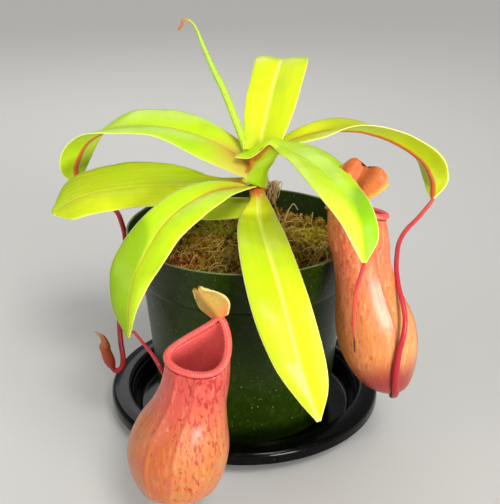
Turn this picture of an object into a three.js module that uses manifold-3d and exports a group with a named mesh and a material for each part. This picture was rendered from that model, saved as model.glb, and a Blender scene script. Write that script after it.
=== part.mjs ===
// A young tropical pitcher plant in a thin-wall nursery pot that stands in a plastic saucer.
// Millimetres, +Z up. The origin is the centre of the saucer's underside.

import * as THREE from 'three';
import { mergeVertices } from 'three/addons/utils/BufferGeometryUtils.js';
import Module from 'manifold-3d';

const wasm = await Module();
wasm.setup();

// Driving dimensions

const touchGap = 0.3;
const smallStep = 0.01;

const saucerFloorRadius = 53;
const saucerFloorThickness = 1.7;
const saucerLipInner = 58.4;
const saucerLipOuter = 68.2;
const saucerLipTop = 14.2;
const saucerLipBottom = 7.6;
const saucerWall = 1.5;
const saucerSides = 44;

const potBase = saucerFloorThickness + touchGap;
const potHeight = 96;
const potBaseRadius = 43.1;
const potShoulderRadius = 50;
const potShoulderHeight = 73;
const potBandStep = 1;
const potRimRadius = 57;
const potWall = 1;
const potFloor = 1.4;
const potSides = 48;
const drainHoles = 6;
const drainHoleRadius = 3.5;
const drainHoleCircle = 33;

const mediumTop = 84.6;
const stemHoleRadius = 4.6;
const stemHoleDepth = 28;

const mossRadius = 52.2;
const mossInnerRadius = 4.7;
const mossEdgeTop = 86.2;
const mossMiddleTop = 88.6;
const mossRelief = 0.9;
const mossSides = 44;

const bladeThickness = 0.75;
const bladeSteps = 18;
const bladeHalfSteps = 3;
const crownReach = 0.42;

const cupWall = 1.3;
const cupSides = 22;
const cupRings = 13;
const cupRingSpread = 1.25;
const cupRoundEnd = 0.16;
const cupOuterBottom = 0.012;
const cupInnerBottom = 0.06;
const lipHalfWidth = 1.7;
const lipHalfHeight = 1.15;
const lipRibs = 22;
const lipRibDepth = 0.16;
const lipSides = 8;
const lidThickness = 0.9;
const lidSteps = 8;

// Leaves. mid is the midrib from base to tip; left and right are half-widths seen from the base;
// heading is the compass direction in degrees from +X; roll lifts the left half; fold is the V.

const leaves = {
  leaf_front: {
    mid: [
      [5.5, -2, 113], [7.5, -22, 107], [11, -49, 104], [16.5, -72, 91],
      [22, -84, 73], [26.5, -89, 59], [31, -90.5, 46],
    ],
    heading: -90,
    left: [3, 7.4, 8.8, 10.4, 11, 8.6, 1],
    right: [4.5, 10.8, 13.7, 14.2, 11, 6, 1],
    roll: [0, 0],
    fold: [25, 18, 12, 9, 7, 7, 4],
  },
  leaf_front_left: {
    mid: [
      [4, -3, 119], [-16, -16, 120.5], [-33, -32, 114.5],
      [-43.5, -45, 102], [-49.5, -54, 89], [-51, -58, 68],
    ],
    heading: -133,
    left: [4, 8.3, 11, 12.2, 12.5, 11.6, 11.4, 11.2, 9.2, 4.6, 1],
    right: [2, 6, 7.7, 9.2, 9.8, 11.3, 12.8, 13.3, 12.6, 10, 1],
    roll: [0, -15, -15, -12, 0, 0],
    fold: [20, 12, 8, 8, 6, 4],
  },
  leaf_left: {
    mid: [[3, 0, 121.5], [-20, 0, 118.5], [-40, 0, 118.5], [-60, 0, 117], [-78, 0, 113], [-92, 0, 105]],
    heading: 180,
    left: [2, 7, 10.5, 13, 13.4, 13.8, 14, 12.3, 1.5],
    right: [1.5, 4, 10, 13.6, 15.4, 15.3, 14.2, 11.8, 1.5],
    roll: [-30, -30],
    fold: [20, 10, 5, 5, 5, 5],
  },
  leaf_upper_left: {
    mid: [
      [3, 1, 129.5], [-15, 11, 137], [-38, 23, 140.5], [-62, 29, 139],
      [-77, 32, 131.5], [-85, 33, 118], [-84, 31, 108],
    ],
    heading: 157,
    left: [4, 8.4, 10.8, 12.8, 13, 9.5, 1],
    right: [2, 6.5, 13.6, 15, 12, 8, 1],
    roll: [-40, -28, -14, -8, 10, 25, 25],
    fold: [10, 8, 8, 8, 8, 10, 10],
  },
  leaf_back: {
    mid: [
      [7, 2, 134], [11, 17, 149], [14.5, 30, 160], [18.5, 45, 168.5],
      [19.5, 60, 164], [18, 70, 150], [15, 74, 134],
    ],
    heading: 84,
    left: [8, 11.2, 11.8, 13, 12.8, 9, 1],
    right: [9.5, 13.4, 14.2, 13.8, 12.4, 9, 1],
    roll: [0, 0],
    fold: [20, 15, 10, 5, 5, 5, 5],
  },
  leaf_far_right: {
    mid: [
      [7, 0.5, 134], [30, 10, 140.5], [51, 17, 141], [70, 20, 135.5],
      [86, 18, 126], [92, 13, 117], [91.5, 5, 110],
    ],
    heading: 15,
    left: [2, 6, 11.5, 12.5, 10, 6, 1],
    right: [3, 11, 12, 11, 12, 10, 1],
    roll: [5, 15, -5, -15, -20, -25, -25],
    fold: [20, 20, 22, 25, 20, 10, 5],
  },
  leaf_right_front: {
    mid: [
      [4, -1, 130], [13, -6, 138], [23, -25, 142], [32, -46, 141.8],
      [38.6, -67, 139.5], [44.2, -86, 133.5], [46, -94.5, 120],
    ],
    heading: -68,
    left: [6, 6.5, 7.5, 8.5, 10, 10.8, 10.3, 9, 8.4, 8, 7.4, 6.4, 1],
    right: [6, 5.5, 7, 11, 12, 9, 1],
    roll: [50, 25, 5, 0, 0, 0, 0],
    fold: [15, 8, 6, 8, 10, 12, 10],
  },
  leaf_cut: {
    mid: [[4, -1, 111], [-8, 1, 108.5], [-18, 3, 106.5], [-25, 4, 105]],
    heading: 173,
    left: [2, 5, 6, 5],
    right: [2, 5, 6, 5],
    roll: [-30, -30],
    fold: [10, 5],
  },
  leaf_sheath: {
    mid: [[11, -3.4, 134], [8.5, -3.6, 127], [7.2, -3.8, 120], [6.8, -3.8, 114.5]],
    heading: -90,
    left: [4, 4.5, 4.2, 2.5],
    right: [1.5, 2, 1.5, 1],
    roll: [0, 0],
    fold: [-30, -30],
  },
};

const lids = {
  lid_front: {
    mid: [[-10.2, -87.2, 92.5], [-12, -88, 97], [-15, -88.6, 102], [-17.8, -89, 106]],
    heading: -100,
    left: [1.6, 7, 7.5, 1],
    right: [1.6, 6.5, 7, 1],
    roll: [0, 0],
    fold: [30, 30],
  },
  lid_right: {
    mid: [[41, -58, 131.5], [46, -53.5, 137], [51.5, -47, 140.5], [55, -42, 141.5]],
    heading: 52,
    left: [1.6, 10, 11, 2],
    right: [1.6, 11, 12, 2],
    roll: [0, 0],
    fold: [12, 12],
  },
};

// Pitchers. axis is the middle of each ring from the closed bottom to the mouth; face is the compass
// direction that the mouth opens to; slope tips the ring down in front; rise lifts its back into a neck.

const pitchers = {
  front: {
    axis: [
      [-28.5, -97, 15.5], [-28.3, -97, 20.5], [-28, -97, 29], [-27.6, -97, 39], [-26, -97, 50],
      [-23, -97, 59], [-20.2, -97, 67], [-18.4, -97, 74], [-17.2, -97, 80],
    ],
    radius: [14, 16.5, 19.8, 21.2, 18.8, 15.6, 14.2, 13.4, 12.8],
    face: -128,
    slope: [0, 0, 0, 0, 2, 4, 6, 8, 10],
    rise: [0, 0, 0, 0, 0, 0, 1, 3, 8.5],
    pear: [0, 0, 0, 0, 0, 0, 0.05, 0.15, 0.32],
  },
  right: {
    axis: [
      [68, -49, 35], [64.5, -49, 42], [62, -49, 51], [60, -49, 62], [57.8, -49, 75],
      [54, -49, 89], [51, -49, 101], [48.6, -49, 111], [47.2, -49, 121],
    ],
    radius: [8, 12, 15.5, 18, 17.2, 14, 12.4, 13.6, 13.2],
    face: 45,
    slope: [0, 0, 0, 0, 0, 1, 2, 3, 4],
    rise: [0, 0, 0, 0, 0, 0, 0, 2.5, 7],
    pear: [0, 0, 0, 0, 0, 0, 0.05, 0.15, 0.25],
  },
};

// Stems and tendrils: points of the middle line and the radius along it.

const stemLine = [[7, 1, 57.2], [7, 0.8, 86], [6.2, 0.2, 104], [5.4, 0, 120], [5.6, 1, 134]];
const stemRadius = [3.8, 3.7, 3.4, 3, 2.6];

const spearLine = [
  [4.6, 3.6, 137.2], [-1.4, 5.5, 141], [-9.4, 18, 160], [-12.8, 22, 166], [-15.7, 25, 171.5],
  [-19.7, 29, 180], [-22.8, 32, 187], [-25.5, 31.5, 190.5], [-28.3, 30, 191.5], [-29.4, 29.3, 189],
  [-31, 28, 187],
];
const spearRadius = [1.5, 1.8, 1.7, 1.6, 1.4, 1.1, 0.8, 0.75, 0.7, 0.65, 0.5];

const tendrilRightLine = [
  [91.5, 4.6, 109.8], [88.3, 0, 108], [82.2, -9, 105.4], [75, -20, 103.7], [70.2, -31, 102], [68, -40, 99.5],
  [66.8, -48, 96], [67, -56, 91], [68.2, -62, 86], [68.8, -66, 80.5], [68.2, -68, 74],
  [66.8, -68, 66], [66.2, -67, 57.5], [66.6, -63.8, 48], [67.6, -59.8, 41], [68, -54, 36.2], [68, -50.5, 33.4],
];
const tendrilRightRadius = [0.9, 1, 1.05, 1.1, 1.1, 1.1, 1.1, 1.1, 1.1, 1.1, 1.15, 1.25, 1.4, 1.6, 1.6, 1.4, 1];

const tendrilDryLine = [
  [46, -94.5, 119.4], [44.9, -93, 113], [44, -90, 105.5], [44, -87.5, 97], [44.4, -85, 88.5],
  [44.9, -84, 82], [45.7, -83, 74.5],
];
const tendrilDryRadius = [0.6, 0.6, 0.6, 0.6, 0.6, 0.5, 0.4];

const tendrilFrontLine = [
  [-51, -58.2, 67], [-48.4, -60.8, 69.6], [-44, -65.5, 70.3], [-40, -71.5, 68.2], [-36.2, -77, 63],
  [-32.2, -76.6, 55], [-30.5, -74, 43], [-29.6, -72.8, 32], [-29, -75.6, 23], [-28.6, -81.6, 17],
  [-28.5, -89, 14.4],
];
const tendrilFrontRadius = [0.9, 1, 1.05, 1.05, 1.05, 1.1, 1.2, 1.3, 1.4, 1.5, 1.5];

const tendrilBudLine = [
  [-84, 31, 107.6], [-76, 29, 103], [-66, 25, 97.6], [-61.8, 19, 92.5], [-59.6, 12, 84], [-60.5, -5, 70],
  [-60, -20, 60], [-59, -28, 51], [-57.5, -33, 44], [-59.5, -34.5, 38.5], [-62.5, -34.5, 39],
];
const tendrilBudRadius = [0.8, 1, 1.2, 1.3, 1.3, 1.3, 1.3, 1.3, 1.3, 1.3, 1.2];

const budLine = [
  [-63, -34.5, 40], [-65.5, -34.4, 44.5], [-67.2, -34.2, 50], [-68.3, -34, 54.5], [-70.6, -34, 59],
];
const budRadius = [1.2, 2.6, 2.8, 1.6, 0.4];

const stubLine = [[10.6, 3.6, 105], [12.6, 4.4, 111], [13.6, 4.8, 116], [14.2, 5, 119]];
const stubRadius = [1.6, 2.7, 2.9, 2.3];
const stubStrands = 5;

// Smooth value of a list of numbers or points at t from 0 to 1

function along(list, t) {
  const last = list.length - 1;
  const s = Math.min(Math.max(t, 0), 1) * last;
  const i = Math.min(Math.floor(s), last - 1);
  const f = s - i;
  const mix = (a, b, c, d) =>
    0.5 * (2 * b + (c - a) * f + (2 * a - 5 * b + 4 * c - d) * f * f + (3 * b - a - 3 * c + d) * f ** 3);
  const at = (k, n) => (n === undefined ? list[k] : list[k][n]);
  const value = (n) => {
    const b = at(i, n);
    const c = at(i + 1, n);
    const a = i > 0 ? at(i - 1, n) : 2 * b - c;
    const d = i + 2 <= last ? at(i + 2, n) : 2 * c - b;
    return mix(a, b, c, d);
  };
  return Array.isArray(list[0]) ? new THREE.Vector3(value(0), value(1), value(2)) : value();
}

function direction(line, t) {
  return along(line, Math.min(t + smallStep, 1)).sub(along(line, Math.max(t - smallStep, 0))).normalize();
}

function rad(degrees) {
  return THREE.MathUtils.degToRad(degrees);
}

// Closed meshes

function meshFrom(vertices, faces) {
  const geometry = new THREE.BufferGeometry();
  const numbers = vertices.flatMap((v) => [v.x, v.y, v.z]);
  geometry.setAttribute('position', new THREE.Float32BufferAttribute(numbers, 3));
  geometry.setIndex(faces.flat());
  return turnOut(geometry);
}

// Faces point outwards when the solid's signed volume is positive.
function turnOut(geometry) {
  const p = geometry.attributes.position;
  const index = geometry.index.array;
  const a = new THREE.Vector3();
  const b = new THREE.Vector3();
  const c = new THREE.Vector3();
  let volume = 0;
  for (let i = 0; i < index.length; i += 3) {
    a.fromBufferAttribute(p, index[i]);
    b.fromBufferAttribute(p, index[i + 1]);
    c.fromBufferAttribute(p, index[i + 2]);
    volume += a.dot(b.cross(c));
  }
  if (volume < 0) {
    for (let i = 0; i < index.length; i += 3) {
      [index[i], index[i + 1]] = [index[i + 1], index[i]];
    }
  }
  return geometry;
}

// Skin over a row of rings; its two ends are capped, or joined to each other.
function loft(rings, endsJoined = false) {
  const sides = rings[0].length;
  const vertices = rings.flat();
  const faces = [];
  const spans = endsJoined ? rings.length : rings.length - 1;
  for (let i = 0; i < spans; i++) {
    const row = i * sides;
    const next = ((i + 1) % rings.length) * sides;
    for (let j = 0; j < sides; j++) {
      const k = (j + 1) % sides;
      faces.push([row + j, row + k, next + k], [row + j, next + k, next + j]);
    }
  }
  if (!endsJoined) {
    for (const [row, flip] of [[0, true], [(rings.length - 1) * sides, false]]) {
      const middle = new THREE.Vector3();
      for (let j = 0; j < sides; j++) {
        middle.addScaledVector(vertices[row + j], 1 / sides);
      }
      vertices.push(middle);
      for (let j = 0; j < sides; j++) {
        const k = (j + 1) % sides;
        const face = [row + j, row + k, vertices.length - 1];
        faces.push(flip ? face.reverse() : face);
      }
    }
  }
  return meshFrom(vertices, faces);
}

// Round tube whose radius varies along its line
function tube(line, radius, sides, steps, grow = 0) {
  const rings = [];
  const normal = new THREE.Vector3(0.3, 1, 0.1);
  for (let i = 0; i <= steps; i++) {
    const t = i / steps;
    const tangent = direction(line, t);
    normal.addScaledVector(tangent, -normal.dot(tangent)).normalize();
    const across = new THREE.Vector3().crossVectors(tangent, normal);
    const centre = along(line, t);
    const r = along(radius, t) + grow;
    const ring = [];
    for (let j = 0; j < sides; j++) {
      const a = (j / sides) * Math.PI * 2;
      ring.push(centre.clone()
        .addScaledVector(normal, r * Math.cos(a))
        .addScaledVector(across, r * Math.sin(a)));
    }
    rings.push(ring);
  }
  return loft(rings);
}

// A point of a leaf's middle surface: t runs from base to tip, v from -1, right edge, to 1, left edge.
function bladePoint(leaf, t, v, widen = 0) {
  const middle = along(leaf.mid, t);
  const tangent = direction(leaf.mid, t);
  const heading = rad(leaf.heading);
  const level = new THREE.Vector3(-Math.sin(heading), Math.cos(heading), 0);
  level.addScaledVector(tangent, -level.dot(tangent)).normalize();
  const normal = new THREE.Vector3().crossVectors(tangent, level);
  const roll = rad(along(leaf.roll, t));
  const across = level.clone().multiplyScalar(Math.cos(roll)).addScaledVector(normal, Math.sin(roll));
  const upright = normal.multiplyScalar(Math.cos(roll)).addScaledVector(level, -Math.sin(roll));
  const width = (Math.max(along(v > 0 ? leaf.left : leaf.right, t), 0.6) + widen) * Math.abs(v);
  const fold = rad(along(leaf.fold, t));
  return middle
    .addScaledVector(across, Math.sign(v) * width * Math.cos(fold))
    .addScaledVector(upright, width * Math.sin(fold));
}

// Thin blade round the leaf's middle surface, up to reach of its length
function blade(leaf, steps, halfSteps, thickness, widen = 0, reach = 1) {
  const columns = halfSteps * 2 + 1;
  const upper = [];
  const lower = [];
  for (let i = 0; i <= steps; i++) {
    for (let j = 0; j < columns; j++) {
      const t = (i / steps) * reach;
      const v = j / halfSteps - 1;
      const point = bladePoint(leaf, t, v, widen);
      const ahead = bladePoint(leaf, Math.min(t + smallStep, 1), v, widen);
      const behind = bladePoint(leaf, Math.max(t - smallStep, 0), v, widen);
      const onLeft = bladePoint(leaf, t, Math.min(v + 0.2, 1), widen);
      const onRight = bladePoint(leaf, t, Math.max(v - 0.2, -1), widen);
      const normal = ahead.sub(behind).cross(onLeft.sub(onRight)).normalize();
      upper.push(point.clone().addScaledVector(normal, thickness / 2));
      lower.push(point.clone().addScaledVector(normal, -thickness / 2));
    }
  }
  const vertices = [...upper, ...lower];
  const under = upper.length;
  const faces = [];
  for (let i = 0; i < steps; i++) {
    for (let j = 0; j < columns - 1; j++) {
      const a = i * columns + j;
      const b = a + 1;
      const c = a + columns;
      const d = c + 1;
      faces.push([a, b, d], [a, d, c], [under + a, under + d, under + b], [under + a, under + c, under + d]);
    }
  }
  const edge = [];
  for (let j = 0; j < columns - 1; j++) edge.push(j);
  for (let i = 0; i < steps; i++) edge.push(i * columns + columns - 1);
  for (let j = columns - 1; j > 0; j--) edge.push(steps * columns + j);
  for (let i = steps; i > 0; i--) edge.push(i * columns);
  edge.forEach((a, n) => {
    const b = edge[(n + 1) % edge.length];
    faces.push([b, a, under + a], [b, under + a, under + b]);
  });
  return meshFrom(vertices, faces);
}

// A point of a pitcher's skin: t from bottom to mouth, a round it from the front, grow outwards
function cupPoint(pitcher, t, a, grow = 0) {
  const centre = along(pitcher.axis, t);
  const face = rad(pitcher.face);
  const slope = rad(along(pitcher.slope, t));
  const side = new THREE.Vector3(-Math.sin(face), Math.cos(face), 0);
  const front = new THREE.Vector3(Math.cos(face), Math.sin(face), 0);
  const roundEnd = 1 - Math.min(t / cupRoundEnd, 1);
  const r = along(pitcher.radius, t) * Math.sqrt(1 - roundEnd ** 2) + grow;
  const pear = along(pitcher.pear, t);
  const back = (1 - Math.cos(a)) / 2;
  return centre
    .addScaledVector(side, r * Math.sin(a) * (1 + pear * Math.cos(a)))
    .addScaledVector(front, r * Math.cos(a))
    .add(new THREE.Vector3(0, 0, along(pitcher.rise, t) * back ** 3 - r * Math.cos(a) * Math.tan(slope)));
}

// Rings from near the bottom to the mouth, closer together where the skin curves in
function cupSkin(pitcher, firstT, grow) {
  const rings = [];
  for (let i = 0; i <= cupRings; i++) {
    const t = firstT + (1 - firstT) * (i / cupRings) ** cupRingSpread;
    const ring = [];
    for (let j = 0; j < cupSides; j++) {
      ring.push(cupPoint(pitcher, t, (j / cupSides) * Math.PI * 2, grow));
    }
    rings.push(ring);
  }
  return rings;
}

// Cup with an open mouth: outer skin up to the mouth, inner skin back down
function cup(pitcher) {
  const inner = cupSkin(pitcher, cupInnerBottom, -cupWall).slice(0, -1).reverse();
  return loft([...cupSkin(pitcher, cupOuterBottom, 0), ...inner]);
}

// Rolled lip on the mouth, with cross ribs
function lip(pitcher, grow = 0) {
  const rings = [];
  const count = lipRibs * 2;
  for (let i = 0; i < count; i++) {
    const a = (i / count) * Math.PI * 2;
    const rim = cupPoint(pitcher, 1, a, -cupWall / 2);
    const ahead = cupPoint(pitcher, 1, a + smallStep, -cupWall / 2);
    const tangent = ahead.sub(cupPoint(pitcher, 1, a - smallStep, -cupWall / 2)).normalize();
    const up = new THREE.Vector3(0, 0, 1).addScaledVector(tangent, -tangent.z).normalize();
    const out = new THREE.Vector3().crossVectors(tangent, up);
    const swell = i % 2 ? 1 + lipRibDepth : 1;
    const middle = rim.addScaledVector(up, lipHalfHeight * (1 + lipRibDepth) + touchGap);
    const ring = [];
    for (let j = 0; j < lipSides; j++) {
      const b = (j / lipSides) * Math.PI * 2;
      ring.push(middle.clone()
        .addScaledVector(out, (lipHalfWidth * swell + grow) * Math.cos(b))
        .addScaledVector(up, (lipHalfHeight * swell + grow) * Math.sin(b)));
    }
    rings.push(ring);
  }
  return loft(rings, true);
}

// Solids for cutting and joining

function solid(geometry) {
  const bare = geometry.clone();
  bare.deleteAttribute('normal');
  bare.deleteAttribute('uv');
  const merged = mergeVertices(bare, 1e-4);
  return new wasm.Manifold(new wasm.Mesh({
    numProp: 3,
    vertProperties: new Float32Array(merged.attributes.position.array),
    triVerts: new Uint32Array(merged.index.array),
  }));
}

function geometryOf(manifold) {
  const mesh = manifold.getMesh();
  const geometry = new THREE.BufferGeometry();
  geometry.setAttribute('position', new THREE.BufferAttribute(new Float32Array(mesh.vertProperties), 3));
  geometry.setIndex(new THREE.BufferAttribute(new Uint32Array(mesh.triVerts), 1));
  return geometry;
}

// The largest body that is left after the cuts
function cutBy(geometry, cutters) {
  let body = solid(geometry);
  for (const cutter of cutters) {
    body = body.subtract(cutter);
  }
  const bodies = body.decompose();
  bodies.sort((a, b) => b.volume() - a.volume());
  return geometryOf(bodies[0]);
}

function turned(points, sides) {
  const geometry = new THREE.LatheGeometry(points.map(([r, z]) => new THREE.Vector2(r, z)), sides);
  geometry.rotateX(Math.PI / 2);
  return geometry;
}

// Saucer: flat floor, flared wall and a wide rolled lip with a turned-down edge
function makeSaucer() {
  const lipMiddle = (saucerLipInner + saucerLipOuter) / 2;
  const wallTop = saucerLipTop - saucerWall;
  return turned([
    [0, 0],
    [saucerFloorRadius, 0],
    [saucerFloorRadius + 1.6, 1.2],
    [saucerLipInner - saucerWall, wallTop - 2],
    [saucerLipInner + 0.6, wallTop - 0.3],
    [lipMiddle, wallTop],
    [saucerLipOuter - saucerWall - 0.4, wallTop - 1.2],
    [saucerLipOuter - saucerWall, saucerLipBottom],
    [saucerLipOuter, saucerLipBottom],
    [saucerLipOuter, saucerLipTop - 2.2],
    [saucerLipOuter - 1.2, saucerLipTop - 0.7],
    [lipMiddle, saucerLipTop],
    [saucerLipInner + 1, saucerLipTop - 0.2],
    [saucerLipInner, saucerLipTop - 1],
    [saucerFloorRadius + 1, saucerFloorThickness + 0.6],
    [saucerFloorRadius, saucerFloorThickness],
    [0, saucerFloorThickness],
  ], saucerSides);
}

// Pot: tapered wall, a wider band below the edge, a floor with drainage holes
function makePot() {
  const top = potBase + potHeight;
  const shoulder = potBase + potShoulderHeight;
  const shell = turned([
    [0, potBase],
    [potBaseRadius, potBase],
    [potShoulderRadius, shoulder],
    [potShoulderRadius + potBandStep, shoulder + potBandStep],
    [potRimRadius - 0.5, top - 1.2],
    [potRimRadius, top],
    [potRimRadius - potWall, top],
    [potShoulderRadius + potBandStep - potWall, shoulder + potBandStep + 0.3],
    [potShoulderRadius - potWall, shoulder],
    [potBaseRadius - potWall, potBase + potFloor],
    [0, potBase + potFloor],
  ], potSides);
  const holes = [];
  for (let i = 0; i < drainHoles; i++) {
    const a = (i / drainHoles) * Math.PI * 2;
    const hole = new THREE.CylinderGeometry(drainHoleRadius, drainHoleRadius, potFloor * 4, 12);
    hole.rotateX(Math.PI / 2);
    hole.translate(drainHoleCircle * Math.cos(a), drainHoleCircle * Math.sin(a), potBase);
    holes.push(solid(hole));
  }
  return cutBy(shell, holes);
}

// Bark and fibre mix: fills the pot, with a plain hole for the stem
function makeGrowingMedium() {
  const bottom = potBase + potFloor + touchGap;
  const shoulder = potBase + potShoulderHeight;
  const inside = potWall + touchGap;
  const body = turned([
    [0, bottom],
    [potBaseRadius - inside, bottom],
    [potShoulderRadius - inside - 0.1, shoulder - 0.4],
    [potShoulderRadius + 0.9, mediumTop],
    [0, mediumTop],
  ], potSides);
  const hole = new THREE.CylinderGeometry(stemHoleRadius, stemHoleRadius, stemHoleDepth * 2, 16);
  hole.rotateX(Math.PI / 2);
  hole.translate(stemLine[0][0], stemLine[0][1], mediumTop);
  return cutBy(body, [solid(hole)]);
}

// Height of the moss above its mean, from a few crossing waves
function mossHeight(x, y) {
  return mossRelief * (Math.sin(x * 0.31 + 1.3) * Math.cos(y * 0.27) + 0.6 * Math.sin(x * 0.13 - y * 0.19 + 0.7)
    + 0.5 * Math.cos(x * 0.47 + y * 0.41));
}

// Moss mat: a ring round the stem, mounded towards the middle
function makeMossCarpet() {
  const bottom = mediumTop + touchGap;
  const radii = [mossInnerRadius, 10, 17, 24, 31, 38, 45, 50, mossRadius];
  const place = (r, a) => {
    const shift = 1 - (r - mossInnerRadius) / (mossRadius - mossInnerRadius);
    return [r * Math.cos(a) + stemLine[0][0] * shift, r * Math.sin(a) + stemLine[0][1] * shift];
  };
  const ringAt = (r, height) => {
    const ring = [];
    for (let j = 0; j < mossSides; j++) {
      const [x, y] = place(r, (j / mossSides) * Math.PI * 2);
      ring.push(new THREE.Vector3(x, y, height(x, y)));
    }
    return ring;
  };
  const rings = [ringAt(mossRadius, () => bottom), ringAt(mossInnerRadius, () => bottom)];
  for (const r of radii) {
    const mound = (mossRadius - r) / mossRadius;
    rings.push(ringAt(r, (x, y) => mossEdgeTop + (mossMiddleTop - mossEdgeTop) * mound + mossHeight(x, y)));
  }
  return loft(rings, true);
}

// Dead shoot stub: a dry chunk with a few frayed strands at its top
function makeDeadStub() {
  let body = solid(tube(stubLine, stubRadius, 9, 6));
  for (let i = 0; i < stubStrands; i++) {
    const a = (i / stubStrands) * Math.PI * 2;
    const top = stubLine[stubLine.length - 1];
    const strand = [
      [top[0] + 0.9 * Math.cos(a), top[1] + 0.9 * Math.sin(a), top[2] - 2],
      [top[0] + 1.7 * Math.cos(a) + 0.5, top[1] + 1.7 * Math.sin(a), top[2] + 1],
      [top[0] + 2.6 * Math.cos(a) + 1.4, top[1] + 2.4 * Math.sin(a), top[2] + 2.4 + (i % 2)],
    ];
    body = body.add(solid(tube(strand, [0.7, 0.6, 0.4], 5, 3)));
  }
  return body;
}

// Materials

function finish(colour, roughness, metalness = 0) {
  return new THREE.MeshStandardMaterial({ color: colour, roughness, metalness });
}

const finishes = {
  blackPlastic: finish('#101010', 0.2),
  greenPlastic: finish('#22390f', 0.4),
  bark: finish('#4a2e1a', 0.95),
  moss: finish('#6d6a22', 0.95),
  stem: finish('#8a9a1a', 0.6),
  dryBrown: finish('#7a5230', 0.9),
  yellowLeaf: finish('#d6e31a', 0.45),
  limeLeaf: finish('#b8e60a', 0.45),
  oliveLeaf: finish('#c6d016', 0.45),
  redTendril: finish('#c0323a', 0.4),
  coralCup: finish('#e5745a', 0.35),
  orangeCup: finish('#e58045', 0.35),
  coralLip: finish('#ea6660', 0.3),
  oliveLid: finish('#b88a3c', 0.4),
  orangeLid: finish('#d8793a', 0.4),
};

const plant = new THREE.Group();

function addPiece(name, geometry, material) {
  const mesh = new THREE.Mesh(geometry, material);
  mesh.name = name;
  plant.add(mesh);
}

addPiece('saucer', makeSaucer(), finishes.blackPlastic);
addPiece('pot', makePot(), finishes.greenPlastic);
addPiece('growing_medium', makeGrowingMedium(), finishes.bark);
addPiece('moss_carpet', makeMossCarpet(), finishes.moss);

addPiece('stem', tube(stemLine, stemRadius, 12, 10), finishes.stem);

// Each crown piece is cut clear of the stem and of the pieces before it.
const crownCutters = [solid(tube(stemLine, stemRadius, 12, 10, touchGap))];

addPiece('leaf_spear', cutBy(tube(spearLine, spearRadius, 8, 30), crownCutters), finishes.limeLeaf);
crownCutters.push(solid(tube(spearLine, spearRadius, 8, 30, touchGap)));

const leafFinish = {
  leaf_back: finishes.yellowLeaf,
  leaf_far_right: finishes.yellowLeaf,
  leaf_right_front: finishes.limeLeaf,
  leaf_upper_left: finishes.limeLeaf,
  leaf_left: finishes.oliveLeaf,
  leaf_front_left: finishes.limeLeaf,
  leaf_front: finishes.yellowLeaf,
  leaf_sheath: finishes.limeLeaf,
  leaf_cut: finishes.limeLeaf,
};

for (const [name, material] of Object.entries(leafFinish)) {
  const leaf = leaves[name];
  const short = leaf.mid.length < 5;
  const steps = short ? 6 : bladeSteps;
  const halfSteps = short ? 2 : bladeHalfSteps;
  addPiece(name, cutBy(blade(leaf, steps, halfSteps, bladeThickness), crownCutters), material);
  const thick = bladeThickness + 2 * touchGap;
  const reach = short ? 1 : crownReach;
  crownCutters.push(solid(blade(leaf, Math.ceil(steps * reach), halfSteps, thick, touchGap, reach)));
}

const stub = cutBy(geometryOf(makeDeadStub()), crownCutters);
addPiece('dead_stub', stub, finishes.dryBrown);

addPiece('pitcher_front', cup(pitchers.front), finishes.coralCup);
addPiece('pitcher_right', cup(pitchers.right), finishes.orangeCup);

addPiece('peristome_front', lip(pitchers.front), finishes.coralLip);
addPiece('peristome_right', lip(pitchers.right), finishes.coralLip);

const lidParts = [
  ['lid_front', pitchers.front, finishes.oliveLid],
  ['lid_right', pitchers.right, finishes.orangeLid],
];
for (const [name, pitcher, material] of lidParts) {
  const lid = blade(lids[name], lidSteps, bladeHalfSteps, lidThickness);
  addPiece(name, cutBy(lid, [solid(lip(pitcher, touchGap))]), material);
}

// A tendril starts at its leaf's tip and ends on its pitcher; both are cut out of it with the touching gap.
const strandCutters = [];
for (const pitcher of Object.values(pitchers)) {
  strandCutters.push(solid(loft(cupSkin(pitcher, cupOuterBottom, touchGap))));
}
for (const name of ['leaf_far_right', 'leaf_right_front', 'leaf_front_left', 'leaf_upper_left']) {
  const thick = bladeThickness + 2 * touchGap;
  strandCutters.push(solid(blade(leaves[name], bladeSteps, bladeHalfSteps, thick, touchGap)));
}
const strands = [
  ['tendril_right', tendrilRightLine, tendrilRightRadius, 8, 32],
  ['tendril_dry', tendrilDryLine, tendrilDryRadius, 6, 12],
  ['tendril_front', tendrilFrontLine, tendrilFrontRadius, 8, 20],
  ['tendril_bud', tendrilBudLine, tendrilBudRadius, 8, 24],
];
for (const [name, line, radius, sides, steps] of strands) {
  addPiece(name, cutBy(tube(line, radius, sides, steps), strandCutters), finishes.redTendril);
}

const budStem = solid(tube(tendrilBudLine, tendrilBudRadius, 8, 24, touchGap));
addPiece('dry_bud', cutBy(tube(budLine, budRadius, 9, 10), [budStem]), finishes.dryBrown);

export default plant;
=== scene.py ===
import functools
import math

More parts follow.
